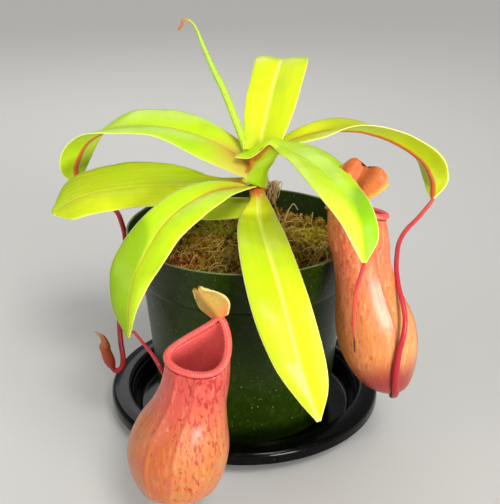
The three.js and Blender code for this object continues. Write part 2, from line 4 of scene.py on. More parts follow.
import bmesh
import bpy
import numpy as np
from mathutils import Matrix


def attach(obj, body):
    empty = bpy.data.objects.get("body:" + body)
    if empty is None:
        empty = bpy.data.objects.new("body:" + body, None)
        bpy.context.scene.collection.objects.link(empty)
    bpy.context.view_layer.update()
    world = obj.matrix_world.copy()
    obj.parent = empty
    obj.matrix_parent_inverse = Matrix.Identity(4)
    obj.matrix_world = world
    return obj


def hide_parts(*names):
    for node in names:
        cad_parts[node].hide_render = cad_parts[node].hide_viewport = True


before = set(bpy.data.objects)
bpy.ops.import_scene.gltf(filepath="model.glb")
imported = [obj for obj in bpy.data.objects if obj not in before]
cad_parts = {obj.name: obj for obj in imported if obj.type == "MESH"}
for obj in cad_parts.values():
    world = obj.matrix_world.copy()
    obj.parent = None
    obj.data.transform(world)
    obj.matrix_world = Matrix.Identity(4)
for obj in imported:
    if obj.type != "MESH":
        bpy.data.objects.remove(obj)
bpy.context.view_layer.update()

mm = 0.001
imageSize = (500, 504)


def addObject(name, data):
    item = bpy.data.objects.new(name, data)
    bpy.context.collection.objects.link(item)
    return item


# Camera, a little above the pot's edge

view = {
    "place": (0, -428.14, 266.72),
    "pitch": 23.076,
    "yaw": 0.378,
    "focalPixels": 950,
    "sensor": 36,
    "nearest": 10,
}


def makeCamera():
    data = bpy.data.cameras.new("camera")
    data.sensor_width = view["sensor"]
    data.lens = view["focalPixels"] * view["sensor"] / max(imageSize)
    data.clip_start = view["nearest"] * mm
    camera = addObject("camera", data)
    camera.location = [n * mm for n in view["place"]]
    camera.rotation_euler = (math.radians(90 - view["pitch"]), 0, math.radians(-view["yaw"]))
    bpy.context.scene.camera = camera


makeCamera()
print("camera ready")


# Colours, nodes and materials

def linearColour(hexCode):
    parts = [int(hexCode[i:i + 2], 16) / 255 for i in (1, 3, 5)]
    return [c / 12.92 if c <= 0.04045 else ((c + 0.055) / 1.055) ** 2.4 for c in parts] + [1]


def addNode(tree, kind, inputs=None, **settings):
    # a short kind is a shader node, and a node given as an input stands for its first output
    node = tree.nodes.new(kind if "Node" in kind else "ShaderNode" + kind)
    for key, value in settings.items():
        setattr(node, key, value)
    for key, value in (inputs or {}).items():
        if isinstance(value, bpy.types.Node):
            value = value.outputs[0]
        if isinstance(value, bpy.types.NodeSocket):
            tree.links.new(value, node.inputs[key])
        else:
            node.inputs[key].default_value = value
    return node


def newMaterial(name, *marks):
    material = bpy.data.materials.new(name)
    material.use_nodes = True
    material.node_tree.nodes.clear()
    add = functools.partial(addNode, material.node_tree)
    place = add("TexCoord").outputs["Object"]
    return material, add, place, *[add("Attribute", attribute_name=key).outputs["Fac"] for key in marks]


def paint(add, colour, layers, blend="SMOOTHSTEP"):
    # a layer: what it follows, where that starts and ends, the amount at either end, and its colour
    for source, low, high, atLow, atHigh, tint in layers:
        if tint:
            amount = add("MapRange", {
                "Value": source, "From Min": low, "From Max": high, "To Min": atLow, "To Max": atHigh},
                interpolation_type=blend)
            colour = add("Mix", {0: amount, 6: colour, 7: linearColour(tint)}, data_type="RGBA").outputs[2]
    return colour


def finishMaterial(add, height, strength, depth, inputs):    # depth of the relief in mm
    bump = add("Bump", {"Height": height, "Strength": strength, "Distance": depth * mm})
    shader = add("BsdfPrincipled", dict(inputs, Normal=bump))
    add("OutputMaterial", {"Surface": shader})


def perMetre(sizeInMm):
    return 1 / (sizeInMm * mm)    # a texture's scale for features of this size


# Smooth lists, and shapes worked out from them

def along(values, t):
    rows = np.asarray(values, float)    # smooth curve through the values, t from 0 to 1
    last = len(rows) - 1
    s = np.clip(np.asarray(t, float), 0, 1) * last
    i = np.minimum(s.astype(int), last - 1)
    f = s - i
    padded = np.concatenate([[2 * rows[0] - rows[1]], rows, [2 * rows[-1] - rows[-2]]])
    a, b, c, d = (padded[i + k] for k in range(4))
    f = f.reshape(f.shape + (1,) * (rows.ndim - 1))
    return 0.5 * (2 * b + (c - a) * f + (2 * a - 5 * b + 4 * c - d) * f ** 2
                  + (3 * b - a - 3 * c + d) * f ** 3)


def unit(rows):
    return rows / np.linalg.norm(rows, axis=-1, keepdims=True)


def direction(line, t):
    return unit(along(line, np.minimum(t + 0.01, 1)) - along(line, np.maximum(t - 0.01, 0)))


def smooth(x, low, high):
    s = np.clip((x - low) / (high - low), 0, 1)
    return s * s * (3 - 2 * s)


def swell(points, size, shift=0):
    p = points * (2 * np.pi / size)    # soft lumps about this many mm apart, from -1 to 1
    x, y, z = p[..., 0] + shift, p[..., 1] + 2 * shift, p[..., 2] - shift
    return (np.sin(x + 0.6 * np.sin(1.3 * y)) + np.sin(0.8 * y + 0.7 * np.sin(z))
            + np.sin(0.9 * z + 0.5 * np.sin(1.1 * x) + 1)) / 3


def makeObject(name, points, edges, faces, marks):
    mesh = bpy.data.meshes.new(name)
    mesh.from_pydata((points * mm).tolist(), edges, faces)
    for key, values in marks.items():
        mesh.attributes.new(key, "FLOAT", "POINT").data.foreach_set("value", np.ravel(values))
    return addObject(name, mesh)


def makePiece(name, points, faces, marks, material):
    piece = makeObject(name, points, [], faces, marks)
    piece.data.polygons.foreach_set("use_smooth", [True] * len(faces))
    piece.data.materials.append(material)
    piece.data.update()
    return piece


def makeSkin(name, rings, marks, material):
    rows, around = rings.shape[:2]    # closed rings, with a pole at each end
    points = np.concatenate([rings.reshape(-1, 3), [rings[0].mean(0), rings[-1].mean(0)]])
    row = np.arange(rows - 1)[:, None] * around
    column = np.arange(around)
    beside = (column + 1) % around
    quads = np.stack([row + column, row + beside, row + beside + around, row + column + around], -1)
    quads = quads.reshape(-1, 4)
    end = (rows - 1) * around
    pole = np.full(around, rows * around)
    firstFan = np.stack([beside, column, pole], -1)
    lastFan = np.stack([column + end, beside + end, pole + 1], -1)
    corners = points[quads]
    volume = (np.cross(corners[:, 0], corners[:, 1]) * corners[:, 2]).sum()
    volume += (np.cross(corners[:, 0], corners[:, 2]) * corners[:, 3]).sum()
    faces = quads.tolist() + firstFan.tolist() + lastFan.tolist()
    if volume < 0:
        faces = [face[::-1] for face in faces]
    fullMarks = {}
    for key, values in marks.items():
        values = np.broadcast_to(values, (rows, around))
        fullMarks[key] = np.concatenate([values.ravel(), [values[0].mean(), values[-1].mean()]])
    return makePiece(name, points, faces, fullMarks, material)


def settle(piece, slot, *nodes):
    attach(piece, "root")
    if nodes:
        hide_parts(*nodes)


# Geometry Nodes: a tree is built, run on a source mesh and turned into a plain mesh

def startTree(name, sockets):
    tree = bpy.data.node_groups.new(name, "GeometryNodeTree")
    tree.interface.new_socket("Source", in_out="INPUT", socket_type="NodeSocketGeometry")
    for label, kind in sockets.items():
        tree.interface.new_socket(label, in_out="INPUT", socket_type="NodeSocket" + kind)
    tree.interface.new_socket("Result", in_out="OUTPUT", socket_type="NodeSocketGeometry")
    add = functools.partial(addNode, tree)
    return tree, add, add("NodeGroupInput").outputs


def endTree(add, geometry, material):
    real = add("GeometryNodeRealizeInstances", {"Geometry": geometry})
    painted = add("GeometryNodeSetMaterial", {"Geometry": real, "Material": material})
    add("NodeGroupOutput", {"Result": painted})


def endTube(add, curve, section, scale, caps, material):
    tube = add("GeometryNodeCurveToMesh", {
        "Curve": curve, "Profile Curve": section, "Scale": scale, "Fill Caps": caps})
    endTree(add, add("GeometryNodeSetShadeSmooth", {"Geometry": tube}), material)


def runTree(name, tree, source, values):
    modifier = source.modifiers.new("grow", "NODES")
    modifier.node_group = tree
    for item in tree.interface.items_tree:
        if item.in_out == "INPUT" and item.name in values:
            modifier[item.identifier] = values[item.name]
    graph = bpy.context.evaluated_depsgraph_get()
    mesh = bpy.data.meshes.new_from_object(source.evaluated_get(graph), preserve_all_data_layers=True,
                                           depsgraph=graph)
    source.modifiers.remove(modifier)
    mesh.name = name
    return addObject(name, mesh)


def growAlong(name, tree, points, edges, marks, values):
    source = makeObject(name + "Line", points, edges, [], marks)
    piece = runTree(name, tree, source, values)
    bpy.data.objects.remove(source)
    return piece


def makeStrandTree():
    tree, add, given = startTree("strand", {"Sides": "Int", "Finish": "Material"})
    curve = add("GeometryNodeMeshToCurve", {"Mesh": given["Source"]})
    radius = add("GeometryNodeInputNamedAttribute", {"Name": "strandRadius"})
    section = add("GeometryNodeCurvePrimitiveCircle", {"Resolution": given["Sides"], "Radius": 1})
    endTube(add, curve, section, radius, True, given["Finish"])
    return tree


strandTree = makeStrandTree()


def makeStrands(name, lines, radii, steps, sides, material):
    t = np.linspace(0, 1, steps)
    points = np.concatenate([along(line, t) for line in lines])
    sizes = np.concatenate([along(radius, t) for radius in radii])
    first = (np.arange(len(lines))[:, None] * steps + np.arange(steps - 1)).ravel()
    return growAlong(name, strandTree, points, np.stack([first, first + 1], -1).tolist(),
                     {"strandRadius": sizes * mm, "strandAlong": np.tile(t, len(lines))},
                     {"Sides": sides, "Finish": material})


# Leaves. mid is the midrib from base to tip in mm, left and right are half-widths seen from the base,
# heading is in degrees from +X, roll lifts the left half and fold is the V of the two halves, in degrees.
# A foot is rows across the root, each of five points from the right edge, up to footEnd of the length.
# blush is the red at the root, from the right edge to the left, and fade is how far up it reaches.

# leftHalf and rightHalf tint the two halves of the V apart, and leftTip and rightTip their ends: partly each
# half's own tone and partly painted shade and painted highlight, darker on the half that faces away from the
# light
leaves = {
    "leaf_front": {
        "mid": [[5.5, -2, 113], [7.5, -22, 107], [11, -49, 104], [16.5, -72, 91],
                [22, -84, 73], [26.5, -89, 59], [31, -90.5, 46]],
        "heading": -90,
        "left": [3, 8.6, 9.8, 10.8, 11, 8.6, 1],
        "right": [4.5, 10.8, 13.7, 14.2, 11, 6, 1],
        "fold": [25, 18, 12, 9, 7, 7, 4],
        "piece": "frontLeaf", "slot": "leaf_yellow",
        "leftHalf": "#D4E81A", "rightHalf": "#BED80E", "root": "#DAD81E", "rib": "#EEF56A",
        "ribWidth": 1.7, "patchAmount": 0.25,
        "blush": [0.4, 0.8, 1, 0.8, 0.4], "fade": 0.08,
        "footEnd": 0.2,
        "foot": [    # reaches up into the crown
            [2.8, -4, 117.6, 4, -5.2, 118.5, 5.6, -6.6, 119.5, 7.5, -6.6, 119.2, 9.1, -5.4, 118.1],
            [3, -6.8, 114.8, 4.2, -7, 115.2, 6.3, -7.2, 115.5, 8.4, -7, 115.4, 10.8, -6.8, 115.1],
            [0.9, -11.4, 112.5, 3.2, -11, 112.4, 6.5, -10.4, 112.1, 10.2, -10.4, 112.4, 12.8, -11, 112.6],
            [-1.5, -15.8, 110, 2.3, -15, 109.4, 6.7, -14.2, 108.8, 11.1, -14.4, 109.4, 14.6, -15.4, 110],
            [-2.5, -22.8, 110, 2.4, -22, 108.5, 7.4, -21.2, 107.2, 11.4, -21, 108.1, 15.6, -20.8, 109.4],
            [-3, -28.6, 109.3, 2.5, -27.8, 107.7, 8, -27.1, 106.4, 12.2, -26.7, 107.3, 16.8, -26.4, 108.6],
        ],
    },
    "leaf_front_left": {
        "mid": [[4, -3, 119], [-16, -16, 120.5], [-33, -32, 114.5],
                [-43.5, -45, 102], [-49.5, -54, 89], [-51, -58, 68]],
        "heading": -133,
        "left": [4, 8.3, 11, 12.2, 12.5, 11.6, 11.4, 11.2, 9.2, 4.6, 1],
        "right": [2, 6, 7.7, 9.2, 9.8, 11.3, 12.8, 13.3, 12.6, 10, 1],
        "roll": [0, -15, -15, -12, 0, 0],
        "fold": [20, 12, 8, 8, 6, 4],
        "piece": "frontLeftLeaf", "slot": "leaf_lime",
        "leftHalf": "#C6E610", "rightHalf": "#B8DC0C", "root": "#D8E030", "rib": "#C8843A",
        "rightTip": "#84A80A",
        "blush": [0, 0.15, 0.6, 0.15, 0], "fade": 0.45, "ribAmount": 0.45,
    },
    "leaf_left": {
        "mid": [[3, 0, 121.5], [-20, 0, 118.5], [-40, 0, 118.5], [-60, 0, 117], [-78, 0, 113], [-92, 0, 105]],
        "heading": 180,
        "left": [2, 7, 10.5, 13, 13.4, 13.8, 14, 12.3, 1.5],
        "right": [1.5, 4, 10, 13.6, 15.4, 15.3, 14.2, 11.8, 1.5],
        "roll": [-30, -30],
        "fold": [20, 10, 5, 5, 5, 5],
        "piece": "leftLeaf", "slot": "leaf_olive",
        "leftHalf": "#D0DA14", "rightHalf": "#A6B60E", "root": "#A8A81C", "rib": "#C4C430",
        "blush": [0.3, 0.2, 0.7, 0.3, 0.3], "fade": 0.2,
    },
    "leaf_upper_left": {
        "mid": [[6, 0.4, 127.6], [-15, 11, 137], [-38, 23, 140.5], [-62, 29, 139],
                [-77, 32, 131.5], [-85, 33, 118], [-84, 31, 108]],
        "heading": 157,
        "left": [8, 13, 12, 12.8, 13, 9.5, 1],
        "right": [5, 8.6, 14.6, 15.4, 12, 8, 1],
        "roll": [-44, -30, -14, -8, 10, 25, 25],
        "fold": [10, 8, 8, 8, 8, 10, 10],
        "piece": "upperLeftLeaf", "slot": "leaf_lime",
        "leftHalf": "#B4DC0C", "rightHalf": "#C0E410", "root": "#D0C83C", "rib": "#C8B43C",
        "blushTint": "#D8884A",
        "blush": [0.5, 0.2, 0.7, 0.3, 0.1], "fade": 0.3,
    },
    "leaf_back": {
        "mid": [[7, 2, 134], [11, 17, 149], [14.5, 30, 160], [18.5, 45, 168.5],
                [19.5, 60, 164], [18, 70, 150], [15, 74, 134]],
        "heading": 84,
        "left": [8, 11.2, 11.8, 13, 12.8, 9, 1],
        "right": [9.5, 13.4, 14.2, 13.8, 12.4, 9, 1],
        "fold": [20, 15, 10, 5, 5, 5, 5],
        "piece": "backLeaf", "slot": "leaf_yellow",
        "leftHalf": "#D8E616", "rightHalf": "#D0DE12", "root": "#CEDE14", "rib": "#EEF46A",
        "ribWidth": 1.7, "patchAmount": 0.3,
    },
    "leaf_far_right": {
        "mid": [[7, 0.5, 134], [30, 10, 140.5], [51, 17, 141], [70, 20, 135.5],
                [86, 18, 126], [92, 13, 117], [91.5, 5, 110]],
        "heading": 15,
        "left": [2, 6, 11.5, 12.5, 10, 6, 1],
        "right": [3, 11, 12, 11, 12, 10, 1],
        "roll": [5, 15, -5, -15, -20, -25, -25],
        "fold": [20, 20, 22, 25, 20, 10, 5],
        "piece": "farRightLeaf", "slot": "leaf_yellow",
        "leftHalf": "#D4DC12", "rightHalf": "#CCD40E", "root": "#CCD814", "rib": "#D88A3C",
    },
    "leaf_right_front": {
        "mid": [[4, -1, 130], [13, -6, 138], [23, -25, 142], [32, -46, 141.8],
                [38.6, -67, 139.5], [44.2, -86, 133.5], [46, -94.5, 120]],
        "heading": -68,
        "left": [6, 6.5, 7.5, 8.5, 10, 10.8, 10.3, 9, 8.4, 8, 7.4, 6.4, 1],
        "right": [6, 5.5, 7, 11, 12, 9, 1],
        "roll": [50, 25, 5, 0, 0, 0, 0],
        "fold": [15, 8, 6, 8, 10, 12, 10],
        "piece": "rightFrontLeaf", "slot": "leaf_lime",
        "leftHalf": "#C8F00A", "rightHalf": "#D6FA0C", "root": "#C4EA10", "rib": "#C4EE14",
        "leftTip": "#84C008", "rightTip": "#E4FC40", "tipFrom": 0.6,
        "footEnd": 0.34,
        "foot": [    # wraps round the crown, its lower edge in front
            [-4.3, -2.5, 133.5, -3.8, -1.5, 133.6, -3.3, -0.5, 133.6, -2.8, 0.8, 133.6, -2.2, 2, 133.6],
            [2.2, -3.5, 133.1, 1.9, -2.2, 134, 1.9, -0.5, 134.6, 2.2, 1.5, 135.2, 2.7, 3, 135.9],
            [6.6, -4.2, 135.9, 6.3, -2.8, 136.6, 6.3, -0.8, 137.3, 6.6, 1.2, 138, 7.2, 3, 138.6],
            [11.4, -5, 140.4, 11.4, -4, 140.7, 11.7, -2.5, 140.9, 12.3, 0, 141.1, 12.9, 2, 141.3],
            [14.4, -8, 139.2, 15, -6.5, 139.7, 15.5, -4.8, 140.2, 16.4, -2, 140.7, 17.3, 0.8, 141.1],
            [17.4, -13, 139.4, 18.1, -11.5, 140, 18.9, -9.6, 140.6, 20, -7.5, 141.4, 21.1, -5, 142],
            [18, -27.4, 142.2, 20.6, -26.6, 142.1, 23.4, -25.8, 142.1, 27.9, -23.6, 142.9,
             32.3, -21.5, 143.8],
        ],
    },
    "leaf_cut": {
        "mid": [[4, -1, 111], [-8, 1, 108.5], [-18, 3, 106.5], [-25, 4, 105]],
        "heading": 173,
        "left": [9, 8.4, 7.6, 5],
        "right": [2, 4, 5, 5],
        "roll": [-42, -34],
        "fold": [6, 4],
        "piece": "cutLeaf", "slot": "leaf_lime",
        "leftHalf": "#DEF62C", "rightHalf": "#C4E414", "root": "#E4EC34", "rib": "#D8F03C",
    },
    "leaf_sheath": {
        "mid": [[11, -3.4, 134], [8.5, -3.6, 127], [7.2, -3.8, 120], [6.8, -3.8, 114.5]],
        "heading": -90,
        "left": [4, 4.5, 4.2, 2.5],
        "right": [3, 3, 3, 2],
        "fold": [0, 0],
        "piece": "sheathWing", "slot": "leaf_lime",
        "leftHalf": "#B8E012", "rightHalf": "#CCD022", "root": "#C0D818", "rib": "#C8D830",
        "blush": [1, 0.35, 0, 0, 0.2], "blushTint": "#CC4E1E", "endBlush": 0.9,
        "fade": 3,
        "footEnd": 1,
        "foot": [    # an open gutter from the far right leaf down to the front leaf, its groove on the left
            [11.4, -4.6, 140.3, 12.2, -3.6, 138.5, 13.7, -5.2, 138.3, 15.7, -7.5, 138.2, 17.3, -9.5, 138.3],
            [7.8, -4.2, 137.9, 9.9, -3, 135.8, 11.7, -5, 136.1, 13.7, -7, 135.8, 15.2, -8, 135.5],
            [6.3, -3.8, 135.5, 7.4, -2.6, 132.8, 8.8, -5, 133.2, 11.7, -7, 132.9, 13.7, -7, 132.5],
            [3, -3.5, 132.7, 4.8, -2.4, 130.8, 6.3, -5, 131, 9.1, -6.8, 129.9, 11.7, -6, 129.2],
            [2.4, -3.2, 129.4, 3, -2.4, 127.5, 4.2, -4.8, 127.7, 7.9, -6.6, 127.1, 11, -5.2, 126.5],
            [0.1, -3, 125.5, 1.1, -2.5, 124.5, 2.4, -4.4, 124.9, 6.6, -6.4, 124, 11.3, -4.8, 123.6],
            [-1.2, -3, 122.8, -0.6, -2.8, 121.9, 0.7, -4.2, 122.1, 5.8, -6, 121.9, 10.9, -4.5, 121],
            [4.3, -3.5, 121, 5.3, -3.6, 120.5, 6.6, -5, 120.5, 8.2, -5.6, 119.8, 10.3, -4.2, 118.3],
            [5.8, -3.8, 117.9, 6.6, -4, 117.5, 7.4, -4.8, 117.5, 8.4, -5, 117.2, 9.5, -4.2, 116.6],
        ],
    },
}

blade = {
    "rows": 150,
    "halfColumns": 14,
    "crowding": 1.4,       # columns lie closer near the midrib
    "leastWidth": 0.6,
    "middleHalf": 0.42,    # half the thickness at the midrib
    "edgeHalf": 0.17,
    "ribUnder": 0.75,      # how far the midrib stands out below
    "ribWidth": 1.1,
    "groove": 0.2,
    "grooveWidth": 0.5,
    "thinning": 0.6,       # how much lower rib and groove are at the tip
    "bulge": 1,            # a higher power gathers each half's bulge in its middle
    "crease": 1,           # half-width of the rounding in the middle of the V
    "lobeFrom": 0.2,
    "lobePower": 0.65,
    "footHold": 0.62,      # share of a foot's length before it passes into the blade
    "wave": 0.4,
    "swells": [(23, 1), (11, 0.4), (5, 0.16)],    # mm, share; the first grows towards the edges
    "slimWidth": 12,       # halves narrower than this wave and bulge less
    "tipFrom": 0.95,
    "tipRadius": 0.6,
}


def footSheet(shape, hold, t, v, sheet):
    rows = along(np.reshape(shape["foot"], (-1, 5, 3)), t / shape["footEnd"])
    rows = along(rows.swapaxes(0, 1), (v + 1) / 2).swapaxes(0, 1)
    if shape["footEnd"] == 1:
        return rows
    return rows + (sheet - rows) * smooth(t, shape["footEnd"] * hold, shape["footEnd"])[:, None, None]


def bladeSkin(shape, size):
    t = np.linspace(0, 1, size["rows"])
    half = size["halfColumns"]
    step = np.arange(-half, half + 1) / half
    v = np.sign(step) * np.abs(step) ** size["crowding"]
    tangent = direction(shape["mid"], t)
    heading = math.radians(shape["heading"])
    level = np.array([-math.sin(heading), math.cos(heading), 0])
    level = unit(level - tangent * (tangent @ level)[:, None])
    normal = np.cross(tangent, level)
    roll, fold = [np.radians(along(shape[key], t))[:, None] for key in ("roll", "fold")]
    left, right = [np.maximum(along(shape[key], t), size["leastWidth"])[:, None] for key in ("left", "right")]
    across = level * np.cos(roll) + normal * np.sin(roll)
    upright = normal * np.cos(roll) - level * np.sin(roll)
    width = np.where(v > 0, left, right)
    out = width * v
    crease = np.sqrt(out ** 2 + size["crease"] ** 2) - size["crease"]
    narrow = np.minimum(width / size["slimWidth"], 1)
    hump = np.sin(np.pi * np.abs(v))
    lift = crease * np.sin(fold) + shape["belly"] * narrow * hump ** size["bulge"]
    middle = along(shape["mid"], t)[:, None]
    sheet = middle + across[:, None] * (out * np.cos(fold))[..., None] + upright[:, None] * lift[..., None]
    lobe = shape["lobe"] * smooth(t, size["lobeFrom"], 1)[:, None] * hump ** size["lobePower"]
    sheet = sheet + tangent[:, None] * lobe[..., None]    # each half reaches past the midrib
    if "foot" in shape:
        sheet = footSheet(shape, size["footHold"], t, v, sheet)
    face = unit(np.cross(np.gradient(sheet, axis=0), np.gradient(sheet, axis=1)))
    broad, medium, fine = [share * swell(sheet, lump, heading) for lump, share in size["swells"]]
    wave = size["wave"] * narrow * (np.abs(v) ** 2 * broad + medium + fine)
    sheet = sheet + face * wave[..., None]
    thick = size["edgeHalf"] + (size["middleHalf"] - size["edgeHalf"]) * (1 - np.abs(v) ** 4)
    fade = (1 - size["thinning"] * t)[:, None]
    tip = smooth(t, size["tipFrom"], 1)[:, None]
    sides = []
    for away, depth, reach in ((1, -size["groove"], size["grooveWidth"]),
                               (-1, size["ribUnder"], size["ribWidth"])):
        depth = thick + depth * np.exp(-(out / reach) ** 2) * fade
        depth = depth + (size["tipRadius"] - depth) * tip * np.sqrt(np.maximum(1 - v ** 2, 0))
        sides.append((sheet + face * (away * depth)[..., None])[:, ::away])
    blush = along(shape["blush"], (v + 1) / 2) * (1 - smooth(t, 0, shape["fade"]))[:, None]
    blush = blush + shape["endBlush"] * smooth(t, 0.8, 0.92)[:, None]
    marks = {
        "leafBlush": np.clip(blush, 0, 1),
        "leafAcross": out,
        "leafEdge": width * (1 - np.abs(v)),
        "leafAlong": np.broadcast_to(t[:, None], out.shape),
    }
    marks = {key: np.concatenate([values, values[:, ::-1]], axis=1) for key, values in marks.items()}
    marks["leafUnder"] = np.concatenate([0 * out, 0 * out + 1], axis=1)
    return np.concatenate(sides, axis=1), marks


# Waxy leaf skin: thick, smooth and a little see-through, so light spreads inside it and the top shines
# in soft patches. It gives the eye a bright yellow-green with a pale rim and fine streaks along the leaf.
leafFinish = {
    "patch": "#9CC40A", "patchSize": 14, "patchFrom": 0.35, "patchAmount": 0.4,
    "streak": "#DCEE3A", "below": "#C4DA30", "blushTint": "#D8542A", "ribBelow": "#CC4A30",
    "rim": "#EEF08C", "rimWidth": 0.65, "gloss": 0.34, "coat": 0.12, "glow": (1, 0.9, 0.15),
    "leftTip": None, "rightTip": None, "ribWidth": 0.9, "ribAmount": 0.75, "tipFrom": 0.4, "rootTo": 0.2,
    "roll": [0, 0], "blush": [0, 0], "fade": 0.3, "endBlush": 0, "lobe": 0,
    "belly": 0.75,    # how far each half bulges up between rib and edge
}


def makeLeafSkin(name, look):
    material, add, place, across, edge, lengthwise, under, blush = newMaterial(
        name, "leafAcross", "leafEdge", "leafAlong", "leafUnder", "leafBlush")
    offRib = add("Math", {0: across}, operation="ABSOLUTE")
    patches = add("TexNoise", {
        "Vector": place, "Scale": perMetre(look["patchSize"]), "Detail": 3, "Roughness": 0.55})
    streakPlace = add("CombineXYZ", {"X": across, "Y": lengthwise})
    streaks = add("TexNoise", {"Vector": streakPlace, "Scale": 1.6, "Detail": 4, "Roughness": 0.6})
    pores = add("TexNoise", {"Vector": place, "Scale": perMetre(0.9), "Detail": 2})
    broadRib = add("MapRange", {
        "Value": offRib, "From Min": 0.9, "From Max": 1.9, "To Min": 1, "To Max": 0})
    ribBelow = add("Math", {0: under, 1: broadRib}, operation="MULTIPLY")
    tip = add("MapRange", {
        "Value": lengthwise, "From Min": look["tipFrom"], "From Max": look["tipFrom"] + 0.4},
        interpolation_type="SMOOTHSTEP")
    sideTip = add("Math", {0: tip, 1: across}, operation="MULTIPLY")
    colour = paint(add, linearColour(look["rightHalf"]), [
        # the two halves: own tone, with painted shade on the half turned away from the light
        (across, -0.8, 0.8, 0, 1, look["leftHalf"]),
        (patches, look["patchFrom"], look["patchFrom"] + 0.4, 0, look["patchAmount"], look["patch"]),
        (streaks, 0.45, 0.7, 0, 0.3, look["streak"]),
        (lengthwise, 0.04, look["rootTo"], 1, 0, look["root"]),
        (under, 0, 1, 0, 0.35, look["below"]),
        (offRib, 0.35, look["ribWidth"], look["ribAmount"], 0, look["rib"]),
        # the ends of either half: own tone, with painted shade and painted highlight
        (sideTip, 0, 1, 0, 0.85, look["leftTip"]),
        (sideTip, 0, -1, 0, 0.85, look["rightTip"]),
        (ribBelow, 0, 1, 0, 0.85, look["ribBelow"]),
        (edge, 0.2, look["rimWidth"], 0.85, 0, look["rim"]),
        (blush, 0, 1, 0, 0.95, look["blushTint"]),
    ])
    height = add("Math", {0: streaks, 1: pores}, operation="ADD")
    gloss = add("MapRange", {
        "Value": patches, "From Min": 0.3, "From Max": 0.7, "To Min": look["gloss"],
        "To Max": look["gloss"] + 0.12})
    finishMaterial(add, height, 0.12, 0.25, {
        "Base Color": colour, "Roughness": gloss, "IOR": 1.42, "Specular IOR Level": 0.3,
        "Subsurface Weight": 0.2, "Subsurface Radius": look["glow"], "Subsurface Scale": 0.8 * mm,
        "Coat Weight": look["coat"], "Coat Roughness": 0.2})
    return material


def makeBlade(node, shape, size, skinName):
    rings, marks = bladeSkin(shape, size)
    skin = makeLeafSkin(skinName + shape["piece"], shape)
    settle(makeSkin(shape["piece"], rings, marks, skin), shape["slot"], node)


for node, leaf in leaves.items():
    makeBlade(node, dict(leafFinish, **leaf), blade, "waxyLeaf_")
print("leaves ready")


# Pitchers. axis is the middle of each ring from the closed bottom to the mouth, in mm; face is the compass
# direction of the cup's front; slope tips the rings down in front, in degrees; rise lifts their back and
# peak the very back of the mouth, in mm; pear makes them wider in front than at the back. Angles round the
# cup are from its front: ridges, from bottom to mouth, and flush, where the blotches are densest.

pitchers = {
    "front": {
        "axis": [[-28.5, -97, 16.2], [-28.3, -97, 20.8], [-28, -97, 29], [-27.6, -97, 39], [-26, -97, 50],
                 [-23, -97, 59], [-20.2, -97, 67], [-18.4, -97, 74], [-17.2, -97, 80]],
        "radius": [14, 16.5, 19.8, 21.2, 18.8, 15.6, 14.2, 13.4, 12.8],
        "face": -128,
        "slope": [0, 0, 0, 0, 2, 4, 6, 8, 10],
        "rise": [0, 0, 0, 0, 0, 0, 1, 2.6, 6.4],
        "peak": 2.3,
        "pear": [0, 0, 0, 0, 0, 0, 0.05, 0.15, 0.32],
        "slot": "pitcher_coral",
        "belly": "#BC7434", "top": "#CC4A42", "foot": "#A83C1A", "blotch": "#A81C14", "inside": "#E8605C",
        "panel": "#B25018", "panelAmount": 0.72, "waxAndPaintedSheen": "#EAAE80", "waxAndPaintedSheenAmount": 0.3, "insideDots": "#F0A080",
        "blotchAmount": 0.9, "footPlace": (-28.5, -93, 14), "footReach": 22,
        "ridges": [[2, 2, 1, -3, -6], [28, 32, 34, 34, 24]],
        "flush": 66,
    },
    "right": {
        "axis": [[68, -49, 35], [64.5, -49, 42], [62, -49, 51], [60, -49, 62], [57.8, -49, 75],
                 [54, -49, 89], [51, -49, 101], [48.6, -49, 111], [47.2, -49, 121]],
        "radius": [8, 12, 15.5, 18, 17.2, 14, 12.4, 13.3, 12.7],
        "face": 60,
        "slope": [0, 0, 0, 0, 0, 1, 3, 5, 7],
        "rise": [0, 0, 0, 0, 0, 0, 0, 2.5, 7],
        "peak": 0,
        "pear": [0, 0, 0, 0, 0, 0, 0.05, 0.15, 0.25],
        "slot": "pitcher_orange",
        "belly": "#D0803E", "top": "#D46C44", "foot": "#8E0A16", "blotch": "#A83018", "inside": "#C05A42",
        "panel": "#E09C58", "panelAmount": 0.7, "waxAndPaintedSheen": "#FAD098", "waxAndPaintedSheenAmount": 0.45, "insideDots": "#C88858",
        "blotchAmount": 0.6, "footPlace": (65.5, -62, 41), "footReach": 26,
        "ridges": [[-133, -131, -127, -123, -121], [-75, -73, -71, -75, -79]],
        "flush": 165,
    },
}

cup = {
    "wall": 1.3,
    "around": 132,
    "outerRows": 130,
    "innerRows": 80,
    "outerStart": 0.0105,    # the first ring beside the pole, as a share of the height
    "innerStart": 0.06,
    "roundEnd": 0.16,
    "peakFrom": 0.85,
    "peakWidth": 0.4,        # radians
    "lump": 0.3,
    "lumpSize": 26,
    "ridge": 0.5,
    "ridgeWidth": 3.5,       # degrees
    "flushWidth": 45,
    "ridgeFrom": (0.02, 0.3),
    "panelIn": (-3, 13),     # degrees past the first ridge
    "panelOut": (-14, 3),    # and past the second
}


